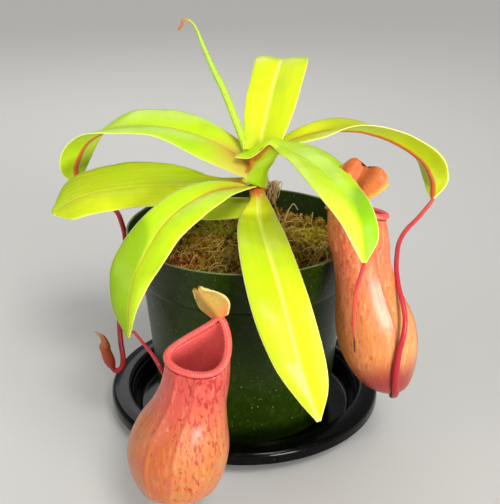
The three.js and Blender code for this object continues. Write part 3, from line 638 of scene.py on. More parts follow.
def cupPoints(pitcher, t, a, grow):
    face = math.radians(pitcher["face"])
    side = np.array([-math.sin(face), math.cos(face), 0])
    front = np.array([math.cos(face), math.sin(face), 0])
    t = t[:, None]
    end = 1 - np.minimum(t / cup["roundEnd"], 1)
    r = along(pitcher["radius"], t) * np.sqrt(1 - end ** 2) + grow
    back = (1 - np.cos(a)) / 2
    sideways = r * np.sin(a) * (1 + along(pitcher["pear"], t) * np.cos(a))
    forwards = r * np.cos(a)
    up = along(pitcher["rise"], t) * back ** 3 - forwards * np.tan(np.radians(along(pitcher["slope"], t)))
    up = up + pitcher["peak"] * smooth(t, cup["peakFrom"], 1) * np.exp(-((a - np.pi) / cup["peakWidth"]) ** 2)
    return (along(pitcher["axis"], t[:, 0])[:, None] + side * sideways[..., None]
            + front * forwards[..., None] + np.array([0, 0, 1]) * up[..., None])


def around(steps):
    return np.arange(steps) / steps * 2 * np.pi


def cupSkin(pitcher):
    a = around(cup["around"])
    t = np.linspace(cup["outerStart"], 1, cup["outerRows"])
    s = np.linspace(1, cup["innerStart"], cup["innerRows"])
    turn = (np.degrees(a) + 180) % 360 - 180
    first, second = [along(line, t)[:, None] for line in pitcher["ridges"]]
    ridge = sum(np.exp(-((turn - line) / cup["ridgeWidth"]) ** 2) for line in (first, second))
    ridge = ridge * smooth(t, *cup["ridgeFrom"])[:, None]
    panel = smooth(turn - first, *cup["panelIn"]) * (1 - smooth(turn - second, *cup["panelOut"]))
    flush = np.exp(-(((turn - pitcher["flush"] + 180) % 360 - 180) / cup["flushWidth"]) ** 2)
    lumps = swell(cupPoints(pitcher, t, a, 0), cup["lumpSize"], pitcher["face"])
    outer = cupPoints(pitcher, t, a, cup["ridge"] * ridge + cup["lump"] * lumps)
    inner = cupPoints(pitcher, s, a, -cup["wall"])
    none = np.zeros((len(s), len(a)))
    marks = {
        "cupHigh": np.concatenate([t, s])[:, None] + 0 * a,
        "cupInside": np.concatenate([0 * ridge, none + 1]),
        "cupPanel": np.concatenate([panel, none]),
        "cupRidge": np.concatenate([ridge, none]),
        "cupFlush": flush,
    }
    return np.concatenate([outer, inner]), marks


# Living pitcher skin: smooth and fleshy, with red blotches drawn out along its height under a wet gloss, and
# pale waxy patches that are partly painted highlight.
def makePitcherSkin(name, look):
    material, add, place, high, inside, panel, ridge, flush = newMaterial(
        name, "cupHigh", "cupInside", "cupPanel", "cupRidge", "cupFlush")
    noise = {}
    for key, size, squeeze in (("blotch", 1.5, 0.4), ("streak", 1.1, 0.1), ("waxAndPaintedSheen", 1.7, 0.12),
                               ("cloud", 15, 0.7), ("grain", 1.1, 0.6)):
        stretched = add("Mapping", {"Vector": place, "Scale": (1, 1, squeeze)})
        noise[key] = add("TexNoise", {
            "Vector": stretched, "Scale": perMetre(size), "Detail": 4, "Roughness": 0.6, "Distortion": 0.4})
    crowded = noise["blotch"]
    for source, share in ((flush, 0.1), (high, 0.12)):
        crowded = add("Math", {0: source, 1: share, 2: crowded}, operation="MULTIPLY_ADD")
    toFoot = add("VectorMath", {
        0: place, 1: [n * mm for n in look["footPlace"]]}, operation="DISTANCE").outputs["Value"]
    footReach = look["footReach"] * mm
    dots = add("MapRange", {"Value": noise["grain"], "From Min": 0.5, "From Max": 0.7, "To Max": 0.4})
    insideDots = add("Math", {0: dots, 1: inside}, operation="MULTIPLY")
    colour = paint(add, linearColour(look["belly"]), [
        (noise["cloud"], 0.45, 0.7, 0, 0.35, look["top"]),
        (panel, 0, 1, 0, look["panelAmount"], look["panel"]),
        (high, 0.42, 0.86, 0, 0.9, look["top"]),
        # pale waxy patches: partly the skin's own waxy bloom and partly painted highlight
        (noise["waxAndPaintedSheen"], 0.5, 0.74, 0, look["waxAndPaintedSheenAmount"], look["waxAndPaintedSheen"]),
        (noise["streak"], 0.48, 0.72, 0, 0.6, look["top"]),
        (toFoot, footReach * 0.3, footReach, 0.92, 0, look["foot"]),
        (crowded, 0.66, 0.79, 0, look["blotchAmount"], look["blotch"]),
        (ridge, 0.2, 1, 0, 0.35, look["blotch"]),
        (inside, 0.4, 0.6, 0, 1, look["inside"]),
        (insideDots, 0, 1, 0, 1, look["insideDots"]),
    ])
    rough = add("Math", {0: noise["waxAndPaintedSheen"], 1: noise["grain"]}, operation="ADD")
    gloss = add("MapRange", {
        "Value": noise["streak"], "From Min": 0.35, "From Max": 0.7, "To Min": 0.34, "To Max": 0.5})
    finishMaterial(add, rough, 0.5, 0.55, {
        "Base Color": colour, "Roughness": gloss, "IOR": 1.4,
        "Subsurface Weight": 0.3, "Subsurface Radius": (1, 0.35, 0.2), "Subsurface Scale": 1.5 * mm,
        "Coat Weight": 0.5, "Coat Roughness": 0.27})
    return material


for key, pitcher in pitchers.items():
    rings, marks = cupSkin(pitcher)
    skin = makePitcherSkin("pitcherSkin_" + key, pitcher)
    settle(makeSkin(key + "Pitcher", rings, marks, skin), pitcher["slot"], "pitcher_" + key)
print("pitchers ready")


# Plain living skin for the stem, lips, tendrils and dried shoots: colours that run along the piece in a
# soft gloss, a little see-through, with fine darker specks.
def makeLivingSkin(name, look):
    material, add, place, position = newMaterial(name, "strandAlong")
    noise = add("TexNoise", {"Vector": place, "Scale": perMetre(look["speckle"]), "Detail": 3})
    tints = look["colours"]
    colour = paint(add, linearColour(tints[0][1]), [
        (position, low, high, 0, 1, tint) for (low, _), (high, tint) in zip(tints, tints[1:])])
    colour = paint(add, colour, [(noise, 0.5, 0.7, 0, look["amount"], look["dots"])], "LINEAR")
    finishMaterial(add, noise, 0.15, 0.2, {
        "Base Color": colour, "Roughness": look["roughness"], "IOR": 1.4,
        "Subsurface Weight": 0.15, "Subsurface Radius": (1, 0.4, 0.2), "Subsurface Scale": 0.8 * mm,
        "Coat Weight": 0.3, "Coat Roughness": 0.2})
    return material


# Lips: a ribbed roll that follows the mouth

lip = {
    "halfWidth": 1.55,
    "halfHeight": 1.2,
    "lift": 1.65,
    "pathSteps": 240,
    "ribs": 88,
    "ribDepth": 0.07,
    "samplesPerRib": 8,
    "sides": 20,
    "look": {"speckle": 0.9, "amount": 0.5, "dots": "#C43034", "roughness": 0.26,
             "colours": [(0, "#E65E54"), (1, "#E65E54")]},
}


def makeLipTree():
    tree, add, given = startTree("ribbedLip", {
        "Ribs": "Float", "Rib Depth": "Float", "Half Width": "Float", "Half Height": "Float",
        "Samples": "Int", "Sides": "Int", "Finish": "Material"})
    curve = add("GeometryNodeMeshToCurve", {"Mesh": given["Source"]})
    even = add("GeometryNodeResampleCurve", {"Curve": curve, "Count": given["Samples"]})
    level = add("GeometryNodeSetCurveNormal", {"Curve": even}, mode="Z_UP")
    factor = add("GeometryNodeSplineParameter").outputs["Factor"]
    turns = add("Math", {0: factor, 1: given["Ribs"]}, operation="MULTIPLY")
    angle = add("Math", {0: turns, 1: 2 * math.pi}, operation="MULTIPLY")
    wave = add("Math", {0: angle}, operation="SINE")
    scale = add("Math", {0: wave, 1: given["Rib Depth"], 2: 1}, operation="MULTIPLY_ADD")
    circle = add("GeometryNodeCurvePrimitiveCircle", {"Resolution": given["Sides"], "Radius": 1})
    size = add("CombineXYZ", {"X": given["Half Width"], "Y": given["Half Height"], "Z": 1})
    section = add("GeometryNodeTransform", {"Geometry": circle, "Scale": size})
    endTube(add, level, section, scale, False, given["Finish"])
    return tree


lipTree = makeLipTree()
lipSkin = makeLivingSkin("wetLipSkin", lip["look"])

for key, pitcher in pitchers.items():
    path = cupPoints(pitcher, np.array([1.0]), around(lip["pathSteps"]), -cup["wall"] / 2)[0]
    edges = [(n, (n + 1) % len(path)) for n in range(len(path))]
    piece = growAlong(key + "Lip", lipTree, path + np.array([0, 0, lip["lift"]]), edges, {}, {
        "Ribs": float(lip["ribs"]), "Rib Depth": lip["ribDepth"], "Half Width": lip["halfWidth"] * mm,
        "Half Height": lip["halfHeight"] * mm, "Samples": lip["ribs"] * lip["samplesPerRib"],
        "Sides": lip["sides"], "Finish": lipSkin})
    settle(piece, "lip_coral", "peristome_" + key)
print("lips ready")


# Lids: short fleshy blades, made as the leaves are

lids = {
    "lid_front": {
        "mid": [[-9.8, -87.2, 92.5], [-12, -88, 96.6], [-14.8, -88.5, 100.6], [-17.3, -89, 104.4]],
        "heading": -100,
        "left": [4.2, 7.6, 6.6, 2.6],
        "right": [4, 7.4, 6.4, 3.2],
        "fold": [30, 30],
        "lobe": 3,
        "piece": "frontLid", "slot": "lid_olive",
        "leftHalf": "#B0923C", "rightHalf": "#A88C38", "root": "#D2553A", "rib": "#C0702C",
        "patch": "#84682A", "patchSize": 1.8, "patchAmount": 0.7,
        "streak": "#CCAC58", "below": "#A88A3C", "rim": "#D8C480",
        "ribBelow": "#B88A40", "glow": (1, 0.75, 0.3), "rootTo": 0.5, "ribAmount": 0.4,
    },
    "lid_right": {
        "mid": [[41.5, -57.5, 131.5], [45.4, -55.6, 136.4], [48.2, -53.4, 140.2], [50, -51.8, 142.8]],
        "heading": 60,
        "left": [1.6, 7, 9.8, 10.4, 9],
        "right": [1.6, 8, 11.8, 13.2, 11.8],
        "roll": [0, 4],
        "fold": [8, 8],
        "lobe": 3,
        "belly": 2.4,
        "piece": "rightLid", "slot": "lid_orange",
        "leftHalf": "#C4602C", "rightHalf": "#CA6A32", "root": "#C03C28", "rib": "#C06428", "ribAmount": 0.3,
        "patch": "#8C3016", "patchSize": 1.3, "patchFrom": 0.5, "patchAmount": 0.85,
        "streak": "#E09A48", "below": "#C86A2C", "rim": "#DCAA40", "ribBelow": "#B8542A", "rimWidth": 2.6,
    },
}

lidFinish = dict(leafFinish, blushTint="#D05030", rimWidth=1.2, glow=(1, 0.4, 0.2), belly=0.6)
lidSize = dict(blade, rows=60, bulge=2, crease=2.5, wave=0.3, ribUnder=0.1, groove=0, edgeHalf=0.35,
               middleHalf=0.5)

for node, lid in lids.items():
    makeBlade(node, dict(lidFinish, **lid), lidSize, "fleshyLid_")
print("lids ready")


# Tendrils, the young spear leaf, the stem, the dried bud and the dead stub

strands = {
    "tendril_right": {
        "piece": "rightTendril",
        "line": [[91.5, 4.6, 109.8], [88.3, 0, 108], [82.2, -9, 105.4], [75, -20, 103.7], [70.2, -31, 102],
                 [68, -40, 99.5], [66.8, -48, 96], [67, -56, 91], [68.2, -62, 86], [68.8, -66, 80.5],
                 [68.2, -68, 74], [66.8, -68, 66], [66.2, -67, 57.5], [66.6, -63.8, 48],
                 [67.6, -59.8, 41], [68, -54, 36.2], [68, -50.5, 33.4]],
        "radius": [0.9, 1, 1.05, 1.1, 1.1, 1.1, 1.1, 1.1, 1.1, 1.1, 1.2, 1.35, 1.6, 1.85, 1.95, 1.8, 1.2],
        "colours": [(0, "#D0584A"), (0.2, "#CC3440"), (0.6, "#BC2030"), (0.85, "#980C1A")],
    },
    "tendril_dry": {
        "piece": "driedTendril",
        "line": [[46, -94.5, 119.4], [44.9, -93, 113], [44, -90, 105.5], [44, -87.5, 97], [44.4, -85, 88.5],
                 [44.9, -84, 82], [45.7, -83, 74.5]],
        "radius": [0.75, 0.8, 0.8, 0.75, 0.7, 0.45, 0.35],
        "colours": [(0, "#D84044"), (0.55, "#DC4A3A"), (0.78, "#B85030"), (0.9, "#3A1C12")],
    },
    "tendril_front": {
        "piece": "frontTendril",
        "line": [[-50.5, -57.2, 69.2], [-49.7, -57.8, 70.8], [-48.2, -59.4, 71.5], [-44.1, -65.5, 69.9],
                 [-39.6, -71.5, 67.6], [-35.8, -76, 63.6], [-32.2, -76.6, 55], [-30.5, -74, 43],
                 [-29.6, -72.8, 32], [-29, -75.6, 23], [-28.6, -81.6, 17], [-28.5, -89, 14.4]],
        "radius": [0.6, 0.65, 0.65, 0.7, 0.8, 0.95, 1.1, 1.2, 1.3, 1.4, 1.5, 1.5],
        "colours": [(0, "#D8505A"), (0.25, "#C83440"), (0.5, "#B81C2C"), (1, "#A5101E")],
    },
    "tendril_bud": {
        "piece": "budTendril",
        "line": [[-84, 31, 107.6], [-76, 29, 103], [-66, 25, 97.6], [-61.8, 19, 92.5], [-59.6, 12, 84],
                 [-60.5, -5, 70], [-60, -20, 60], [-59, -28, 51], [-57.6, -33, 44], [-58.4, -34.3, 39.4],
                 [-61.2, -34.5, 38], [-63.4, -34.5, 40.6]],
        "radius": [0.8, 1, 1.2, 1.3, 1.3, 1.3, 1.3, 1.3, 1.3, 1.3, 1.3, 1.2],
        "colours": [(0, "#D06048"), (0.2, "#C8343C"), (0.7, "#A5101E")],
    },
    "dry_bud": {
        "piece": "driedBud",
        "line": [[-62.4, -34.5, 39.4], [-64.2, -34.4, 44.5], [-65.6, -34.2, 49.8], [-65.6, -34, 53.4],
                 [-67.2, -34, 56.4], [-70.4, -34, 58.6]],
        "radius": [1.3, 2.3, 2.7, 2.6, 2.4, 2.7, 2, 1.5, 1.3, 0.8, 0.5, 0.2],
        "slot": "dry_brown",
        "colours": [(0, "#A01C1C"), (0.3, "#A04018"), (0.55, "#A8541C"), (0.75, "#B06A34"), (1, "#B08468")],
    },
    "leaf_spear": {
        "piece": "spearLeaf",
        "line": [[0.8, 4.2, 134.5], [-1.9, 6.6, 143.2], [-9.4, 18, 160], [-12.8, 22, 166], [-15.7, 25, 171.5],
                 [-19.7, 29, 180], [-22.8, 32, 187], [-25.5, 31.5, 190.5], [-28.3, 30, 191.5],
                 [-29.4, 29.3, 189], [-31, 28, 187]],
        "radius": [1.5, 1.8, 1.7, 1.6, 1.4, 1.1, 0.8, 0.75, 0.7, 0.65, 0.5],
        "slot": "leaf_lime",
        "colours": [(0, "#B8DC28"), (0.5, "#A8CC3A"), (0.72, "#B8B050"), (0.84, "#B8642C")],
    },
    "stem": {
        "piece": "mainStem",
        "line": [[7, 1, 57.2], [7, 0.8, 86], [6.2, 0.2, 104], [5.4, 0, 120], [5.6, 1, 134]],
        "radius": [3.8, 3.7, 3.4, 3, 2.6],
        "slot": "stem_green",
        "colours": [(0, "#6A5A20"), (0.5, "#A8A828"), (0.8, "#D8A030")],
    },
    "dead_stub": {
        "piece": "deadStub",
        "line": [[10.6, 3.6, 105], [12.6, 4.4, 111], [13.6, 4.8, 116], [14.6, 5, 119]],
        "radius": [1.8, 2.4, 2, 2.6, 1.9, 2.2, 1],
        "slot": "dry_brown",
        "colours": [(0, "#5A2C18"), (0.5, "#8A5A38"), (1, "#D8B080")],
    },
}

strandLook = {"speckle": 1.2, "amount": 0.3, "dots": "#8A2020", "roughness": 0.4, "slot": "tendril_red"}
strandSteps = 220
strandSides = 20

for node, strand in strands.items():
    strand = dict(strandLook, **strand)
    skin = makeLivingSkin("livingSkin_" + strand["piece"], strand)
    piece = makeStrands(strand["piece"], [strand["line"]], [strand["radius"]], strandSteps, strandSides, skin)
    settle(piece, strand["slot"], node)
print("tendrils ready")


# Pot and saucer: turned profiles in mm, each corner with the radius of its rounding

shells = {
    "saucer": {
        "piece": "rolledSaucer", "slot": "black_plastic", "skin": "glossyBlackPolypropylene",
        "corners": [
            (1, 0, 0), (53, 0, 1), (54.6, 1.2, 0.6), (56.9, 10.7, 0.8), (59, 12.4, 0.8), (63.3, 12.7, 0.8),
            (66.3, 11.5, 0.8), (66.7, 7.6, 0.3), (68.2, 7.6, 0.3), (68.2, 12, 1), (67, 13.5, 0.6),
            (63.3, 14.2, 1.2), (59.4, 14, 0.8), (58.4, 13.2, 0.8), (54, 2.3, 1), (53, 1.7, 0.4), (1, 1.7, 0),
        ],
        "colour": "#030303", "dustColour": "#3A3834", "dust": 0.04, "dustSize": 5, "gloss": 0.1, "dull": 0.2,
        "paintedRimHighlightFrom": 14.15, "paintedRimHighlightColour": "#141414", "shine": 0.14, "specks": 0.4, "speckColour": "#50504C",
    },
    "pot": {
        "piece": "nurseryPot", "slot": "green_plastic", "skin": "thinGreenPolypropylene",
        "corners": [
            (1, 2, 0), (43.1, 2, 1), (50, 75, 0.8), (51, 76, 0.5), (56.5, 96.8, 0.5), (57, 98, 0.35),
            (56, 98, 0.35), (50, 76.3, 0.6), (49, 75, 0.8), (42.1, 3.4, 0.8), (1, 3.4, 0),
        ],
        "colour": "#1C2C02", "dustColour": "#4E5E1E", "dust": 0.2, "dustSize": 4, "gloss": 0.24, "dull": 0.4,
        "paintedRimHighlightFrom": 97.3, "paintedRimHighlightColour": "#8A9A62", "shine": 0.16, "specks": 0.6, "speckColour": "#98A078",
    },
}
shellSides = 160
cornerSteps = 7


def turnedProfile(corners):
    points = []
    for n, (r, z, rounding) in enumerate(corners):
        here = np.array([r, z], float)
        if rounding == 0:
            points.append(here)
            continue
        a, b = [here + unit(np.array(corners[k][:2], float) - here) * rounding for k in (n - 1, n + 1)]
        for s in np.linspace(0, 1, cornerSteps):
            points.append((1 - s) ** 2 * a + 2 * s * (1 - s) * here + s ** 2 * b)
    return np.array(points)


def turnedRings(corners):
    profile = turnedProfile(corners)
    a = around(shellSides)
    ring = np.stack([np.cos(a), np.sin(a), 0 * a], -1)
    return profile[:, None, :1] * ring + profile[:, None, 1:] * np.array([0, 0, 1])


# Moulded polypropylene: even colour, tight highlights, dust and fine scuffs that dull it, and a paler band
# painted round the top edge as a highlight.
def makePlastic(look):
    material, add, place = newMaterial(look["skin"])
    dust = add("TexNoise", {
        "Vector": place, "Scale": perMetre(look["dustSize"]), "Detail": 6, "Roughness": 0.7})
    grit = add("TexNoise", {"Vector": place, "Scale": perMetre(1.3), "Detail": 1})
    height = add("SeparateXYZ", {0: place}).outputs["Z"]
    colour = paint(add, linearColour(look["colour"]), [
        (dust, 0.5, 0.72, 0, look["dust"], look["dustColour"]),
        # a paler band round the top edge: painted highlight along the rim
        (height, look["paintedRimHighlightFrom"] * mm, (look["paintedRimHighlightFrom"] + 0.7) * mm, 0, 0.55, look["paintedRimHighlightColour"]),
        (grit, 0.72, 0.78, 0, look["specks"], look["speckColour"]),
    ], "LINEAR")
    gloss = add("MapRange", {
        "Value": dust, "From Min": 0.35, "From Max": 0.7, "To Min": look["gloss"], "To Max": look["dull"]})
    finishMaterial(add, dust, 0.03, 0.1, {
        "Base Color": colour, "Roughness": gloss, "IOR": 1.49, "Specular IOR Level": look["shine"]})
    return material


for node, shell in shells.items():
    piece = makeSkin(shell["piece"], turnedRings(shell["corners"]), {}, makePlastic(shell))
    settle(piece, shell["slot"], node)
print("pot and saucer ready")


# Moss bed: low mounds, with moss sprigs, dry fibres and bark crumbs scattered over them, and the frayed
# fibres of the dead stub. Lengths in mm, turns in radians.

moss = {
    "bottom": 84.9,
    "radius": 52.2,
    "edgeTop": 86.4,
    "middleTop": 88.8,
    "relief": 1.5,
    "lumps": [(0.6, 19, 0), (0.4, 8, 2), (0.25, 3.1, 4)],    # share, size, shift
    "rows": 100,
    "around": 260,
    "innermost": 0.02,
    "patches": [    # x, y and reach in mm, and the colour there
        (-10, 20, 17, "#B4C816"), (-27, -18, 14, "#A83010"), (-19, 5, 10, "#D8A020"),
        (-6, -15, 10, "#CCAC50"), (32, 15, 13, "#BCB41C"), (24, 40, 15, "#B4682A"),
        (33, -11, 13, "#38200F"), (-28, 34, 14, "#7C9412"), (10, -34, 16, "#7C6418"),
        (-2, 44, 12, "#8E6A20"), (-42, 6, 14, "#8E541A"),
    ],
}
sprig = {    # leaflets that turn round an upright shoot, from one height to another
    "count": 2700, "sizes": (0.55, 1.25), "tilt": 0.6, "seed": 4,
    "leaflets": 12, "turn": 2.4, "from": 0.2, "to": 2.4, "length": 1.5, "topShare": 0.55, "rise": 0.45,
    "root": -0.8, "tip": 3.2, "halfWidth": 0.26, "flatness": 0.5,
}
crumb = {
    "count": 420, "sizes": (0.5, 1.4), "tilt": 0.8, "seed": 9,
    "rough": 0.3, "lump": 1.7, "shift": 3, "tall": 0.55, "long": 1.4,
}
fibre = {
    "count": 300, "seed": 11, "radii": [0.16, 0.2, 0.2, 0.18, 0.1], "steps": 9, "sides": 4,
    "inset": 4, "shortest": 3, "spread": 9, "bend": 3.2, "above": 0.8, "arch": 3.6, "lift": 2.4,
}
stub = {    # a pair is the least, and how much more at most
    "foot": (11.6, 4, 107),
    "top": (14.2, 4.8, 117.5),
    "radius": 2,
    "count": 34,
    "seed": 3,
    "radii": [0.3, 0.34, 0.34, 0.28, 0.14],
    "steps": 14,
    "sides": 6,
    "reach": (0.6, 3),
    "rise": (1, 2.5),
    "droop": (1, 2),
    "sway": 3,
    "hold": 3,
    "threads": [    # dry stalks between the stub and the moss, and one that stands up from the moss
        [[12.4, 4.6, 108], [14.2, 4.4, 110.4], [15.2, 9, 105.5], [16.3, 16, 99], [18.3, 29, 89.4]],
        [[21, 30, 88.5], [22.3, 30, 93.3], [24.1, 30, 97.2], [25.7, 30, 98.2], [27.6, 30, 95]],
    ],
    "threadRadii": [[0.5, 0.55, 0.45, 0.4, 0.3], [0.22, 0.24, 0.2, 0.18, 0.12]],
}


def mossTop(x, y):
    place = np.stack([x, y, 0 * x], -1)
    mound = 1 - np.hypot(x, y) / moss["radius"]
    lumps = sum(share * swell(place, size, shift) for share, size, shift in moss["lumps"])
    return moss["edgeTop"] + (moss["middleTop"] - moss["edgeTop"]) * mound + moss["relief"] * lumps


# Peat, moss, straw and bark: matt and fibrous; the grain that raises their bumps also paints them lighter on
# what stands up and darker in the gaps, partly their own tone and partly painted highlight and painted shade.
def makeLooseSkin(name, look):
    material, add, place, own = newMaterial(name, "mossTint")
    grain = add("TexNoise", {
        "Vector": place, "Scale": perMetre(look["grain"]), "Detail": 5, "Roughness": 0.7})
    tint = add("Math", {0: own, 1: look["ownTint"], 2: grain}, operation="MULTIPLY_ADD")
    layers = []
    for x, y, reach, tone in moss["patches"] if look["patched"] else []:
        near = add("VectorMath", {
            0: place, 1: (x * mm, y * mm, moss["middleTop"] * mm)}, operation="DISTANCE").outputs["Value"]
        layers.append((near, reach * 0.4 * mm, reach * mm, 0.85, 0, tone))
    middle = 0.5 + look["ownTint"] * 0.5
    # lighter where the grain stands up and darker where it sinks: own tone and random tint, with painted
    # highlight and painted shade
    layers += [(tint, middle + 0.02, middle + 0.45, 0, 0.85, look["light"]),
               (tint, middle - 0.02, middle - 0.4, 0, 0.85, look["dark"])]
    finishMaterial(add, grain, 0.7, 0.6, {
        "Base Color": paint(add, linearColour(look["colour"]), layers, "LINEAR"), "Roughness": 0.9,
        "Specular IOR Level": 0.2})
    return material


looseLooks = {
    # the peat's near-black hollows are partly its own dark tone and partly painted shade
    "mossPeat": {    # crumbly ground in brown and olive, nearly black in its hollows
        "colour": "#6E5010", "light": "#9A8426", "dark": "#1E1206", "grain": 1.6, "patched": True},
    "mossSprigs": {    # olive, rust and straw, each sprig a little different
        "colour": "#9C7A10", "light": "#ECCC48", "dark": "#3A200E", "grain": 3, "ownTint": 0.8,
        "patched": True},
    # the shreds are painted paler than their own colour, as painted light against the shade of the leaves
    # over them
    "dryPaperySkin": {    # bleached shreds with brown streaks
        "colour": "#F0D898", "light": "#FFFCE8", "dark": "#6A3C20", "grain": 2},
    # the straw is partly painted paler than its own colour, as painted light against the shade it lies in
    "dryFibre": {    # straw that catches the light
        "colour": "#D0AC60", "light": "#F0DCA8", "dark": "#8A6030", "grain": 4},
    "pineBark": {    # dark brown crumbs, some with a paler broken face
        "colour": "#4A2A16", "light": "#8A6034", "dark": "#1C100A", "grain": 1.2, "ownTint": 0.8},
}
loose = {}
for name, look in looseLooks.items():
    loose[name] = makeLooseSkin(name, dict({"ownTint": 0, "patched": False}, **look))


def makeScatterTree():
    tree, add, given = startTree("scatter", {
        "Shape": "Object", "Density": "Float", "Smallest": "Float", "Largest": "Float", "Tilt": "Float",
        "Seed": "Int", "Finish": "Material"})
    normal = add("GeometryNodeInputNormal")
    upward = add("SeparateXYZ", {0: normal}).outputs["Z"]
    onTop = add("FunctionNodeCompare", {0: upward, 1: 0.4}, operation="GREATER_THAN")
    spots = add("GeometryNodeDistributePointsOnFaces", {
        "Mesh": given["Source"], "Selection": onTop, "Density": given["Density"], "Seed": given["Seed"]})
    shape = add("GeometryNodeObjectInfo", {"Object": given["Shape"]}).outputs["Geometry"]
    back = add("Math", {0: given["Tilt"], 1: -1}, operation="MULTIPLY")
    least = add("CombineXYZ", {"X": back, "Y": back})
    most = add("CombineXYZ", {"X": given["Tilt"], "Y": given["Tilt"], "Z": 2 * math.pi})
    turn = add("FunctionNodeRandomValue", {0: least, 1: most, 8: given["Seed"]}, data_type="FLOAT_VECTOR")
    size = add("FunctionNodeRandomValue", {
        2: given["Smallest"], 3: given["Largest"], 8: given["Seed"]}).outputs[1]
    placed = add("GeometryNodeInstanceOnPoints", {
        "Points": spots, "Instance": shape, "Rotation": turn, "Scale": size})
    tint = add("FunctionNodeRandomValue", {8: given["Seed"]}).outputs[1]
    marked = add("GeometryNodeStoreNamedAttribute", {
        "Geometry": placed, "Name": "mossTint", "Value": tint}, data_type="FLOAT", domain="INSTANCE")
    endTree(add, marked, given["Finish"])
    return tree


scatterTree = makeScatterTree()


def scatter(name, shape, ground, spread, material):
    piece = runTree(name, scatterTree, ground, {
        "Shape": shape, "Density": spread["count"] / (math.pi * (moss["radius"] * mm) ** 2),
        "Smallest": spread["sizes"][0], "Largest": spread["sizes"][1], "Tilt": spread["tilt"],
        "Seed": spread["seed"], "Finish": material})
    bpy.data.objects.remove(shape)
    return piece


def makeSprig():
    points = []
    turns = np.arange(sprig["leaflets"]) * sprig["turn"]
    roots = np.stack([0 * turns, 0 * turns, np.linspace(sprig["from"], sprig["to"], len(turns))], -1)
    reach = np.linspace(sprig["length"], sprig["length"] * sprig["topShare"], len(turns))
    tips = roots + np.stack([np.cos(turns), np.sin(turns), sprig["rise"] + 0 * turns], -1) * reach[:, None]
    roots = np.concatenate([roots, [[0, 0, sprig["root"]]]])
    tips = np.concatenate([tips, [[0, 0, sprig["tip"]]]])
    for root, tip in zip(roots, tips):
        line = unit(tip - root)
        side = unit(np.cross(line, [0.3, 0.1, 1] if abs(line[2]) < 0.9 else [1, 0, 0]))
        up = np.cross(side, line)
        for corner in range(3):
            a = corner * 2 * math.pi / 3
            ring = side * math.cos(a) + up * sprig["flatness"] * math.sin(a)
            points.append(root + ring * sprig["halfWidth"])
        points.append(tip)
    faces = []
    for n in range(0, len(points), 4):
        faces += [[n, n + 3, n + 1], [n + 1, n + 3, n + 2], [n + 2, n + 3, n], [n, n + 1, n + 2]]
    return makePiece("sprig", np.array(points), faces, {}, loose["mossSprigs"])


def makeCrumb():
    bm = bmesh.new()
    bmesh.ops.create_icosphere(bm, subdivisions=2, radius=mm)
    for vert in bm.verts:
        vert.co *= 1 + crumb["rough"] * float(swell(np.array(vert.co) / mm, crumb["lump"], crumb["shift"]))
        vert.co.z *= crumb["tall"]
        vert.co.x *= crumb["long"]
    mesh = bpy.data.meshes.new("crumb")
    bm.to_mesh(mesh)
    bm.free()
    return addObject("crumb", mesh)


def makeMossBed():
    a = around(moss["around"])
    spread = np.linspace(1, moss["innermost"], moss["rows"])
    radii = np.concatenate([[moss["innermost"], 1], spread]) * moss["radius"]
    x = radii[:, None] * np.cos(a)
    y = radii[:, None] * np.sin(a)
    z = mossTop(x, y)
    z[:2] = moss["bottom"]
    return makeSkin("mossBed", np.stack([x, y, z], -1), {"mossTint": 0.5}, loose["mossPeat"])


def lieOnMoss():
    rng = np.random.default_rng(fibre["seed"])
    s = np.linspace(0, 1, len(fibre["radii"]))
    lines = []
    for _ in range(fibre["count"]):
        radius = (moss["radius"] - fibre["inset"]) * math.sqrt(rng.random())
        turn, heading = rng.random(2) * 2 * math.pi
        length = fibre["shortest"] + fibre["spread"] * rng.random()
        angle = heading + (rng.random() - 0.5) * fibre["bend"] * s
        x = radius * math.cos(turn) + length * s * np.cos(angle)
        y = radius * math.sin(turn) + length * s * np.sin(angle)
        inside = np.minimum(1, (moss["radius"] - 1) / np.maximum(np.hypot(x, y), 1))
        x, y = x * inside, y * inside
        arch = rng.random() * fibre["arch"] * np.sin(np.pi * s)
        z = mossTop(x, y) + fibre["above"] + arch + rng.random() * fibre["lift"] * s
        lines.append(np.stack([x, y, z], -1))
    return lines


def frayStub():
    rng = np.random.default_rng(stub["seed"])
    up = np.array([0, 0, 1])
    lines = []
    for _ in range(stub["count"]):
        turn = rng.random() * 2 * math.pi
        side = np.array([math.cos(turn), math.sin(turn), 0])
        high = rng.random() ** 0.5
        start = np.array(stub["foot"]) * (1 - high) + np.array(stub["top"]) * high + side * stub["radius"]
        reach = stub["reach"][0] + stub["reach"][1] * rng.random() * high
        rise = (stub["rise"][0] + stub["rise"][1] * rng.random()) * high
        across = np.cross(side, up) * (rng.random() - 0.5) * stub["sway"]
        droop = stub["droop"][0] + stub["droop"][1] * rng.random()
        lines.append([start - up * stub["hold"] - side * 0.3, start, start + side * reach * 0.6 + up * rise,
                      start + side * reach + across * 0.6 + up * rise * 0.7,
                      start + side * reach * 0.7 + across - up * droop])
    return lines + stub["threads"]


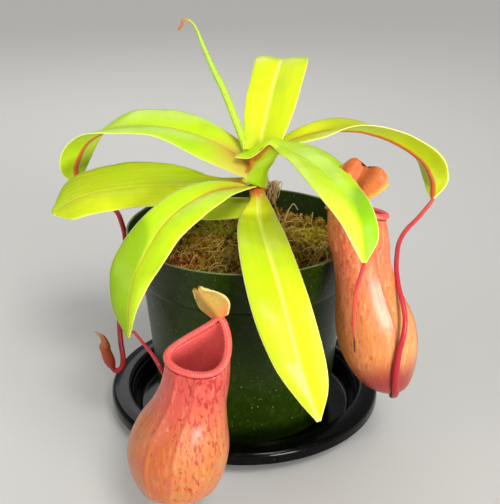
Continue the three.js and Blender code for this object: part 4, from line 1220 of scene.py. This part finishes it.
mossBed = makeMossBed()
settle(scatter("mossSprigs", makeSprig(), mossBed, sprig, loose["mossSprigs"]), "moss")
settle(scatter("barkCrumbs", makeCrumb(), mossBed, crumb, loose["pineBark"]), "bark_mix")
settle(makeStrands("mossFibres", lieOnMoss(), [fibre["radii"]] * fibre["count"], fibre["steps"],
                   fibre["sides"], loose["dryFibre"]), "moss")
settle(mossBed, "moss", "moss_carpet")
settle(makeStrands("stubFibres", frayStub(), [stub["radii"]] * stub["count"] + stub["threadRadii"],
                   stub["steps"], stub["sides"], loose["dryPaperySkin"]), "dry_brown")
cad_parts["growing_medium"].data.materials.clear()
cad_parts["growing_medium"].data.materials.append(loose["pineBark"])
print("moss ready")


# Pale studio: a plain matt painted floor, a low narrow softbox and a soft sun from the front right, and
# weak fills. A light is its kind, its place in mm and its settings in Blender's own units.

studio = {
    "target": (0, -10, 90),
    "floorReach": 12000,
    "floor": "#D0CEC9",
    "sky": "#EEF0F2",
    "skyStrength": 0.34,
    "lights": {
        "softbox": ("AREA", (440, -800, 200), {"energy": 1.7, "size": 0.32, "spread": math.radians(80)}),
        "fill": ("AREA", (-620, -380, 420), {"energy": 1.6, "size": 0.5, "spread": math.radians(180)}),
        "back": ("AREA", (-150, 620, 620), {"energy": 1.5, "size": 0.5, "spread": math.radians(180)}),
        "sun": ("SUN", (260, -560, 820), {"energy": 1.52, "angle": math.radians(20)}),
    },
}


def makeStudio():
    for name, (kind, place, settings) in studio["lights"].items():
        data = bpy.data.lights.new(name, kind)
        for key, value in settings.items():
            setattr(data, key, value)
        away = unit(np.array(place) - np.array(studio["target"]))
        lamp = addObject(name, data)
        lamp.location = np.array(place) * mm
        lamp.rotation_euler = (math.acos(away[2]), 0, math.atan2(away[0], -away[1]))
    world = bpy.data.worlds.new("studio")
    world.use_nodes = True
    world.node_tree.nodes.clear()
    glow = addNode(world.node_tree, "Background", {
        "Color": linearColour(studio["sky"]), "Strength": studio["skyStrength"]})
    addNode(world.node_tree, "OutputWorld", {"Surface": glow})
    bpy.context.scene.world = world
    material, add, _ = newMaterial("paintedFloor")
    shader = add("BsdfPrincipled", {
        "Base Color": linearColour(studio["floor"]), "Roughness": 0.8, "Specular IOR Level": 0.2})
    add("OutputMaterial", {"Surface": shader})
    corners = np.array([[-1, -1, 0], [1, -1, 0], [1, 1, 0], [-1, 1, 0]]) * studio["floorReach"]
    makePiece("studioFloor", corners, [[0, 1, 2, 3]], {}, material)


makeStudio()
bpy.context.scene.view_settings.view_transform = "Standard"
print("studio ready")
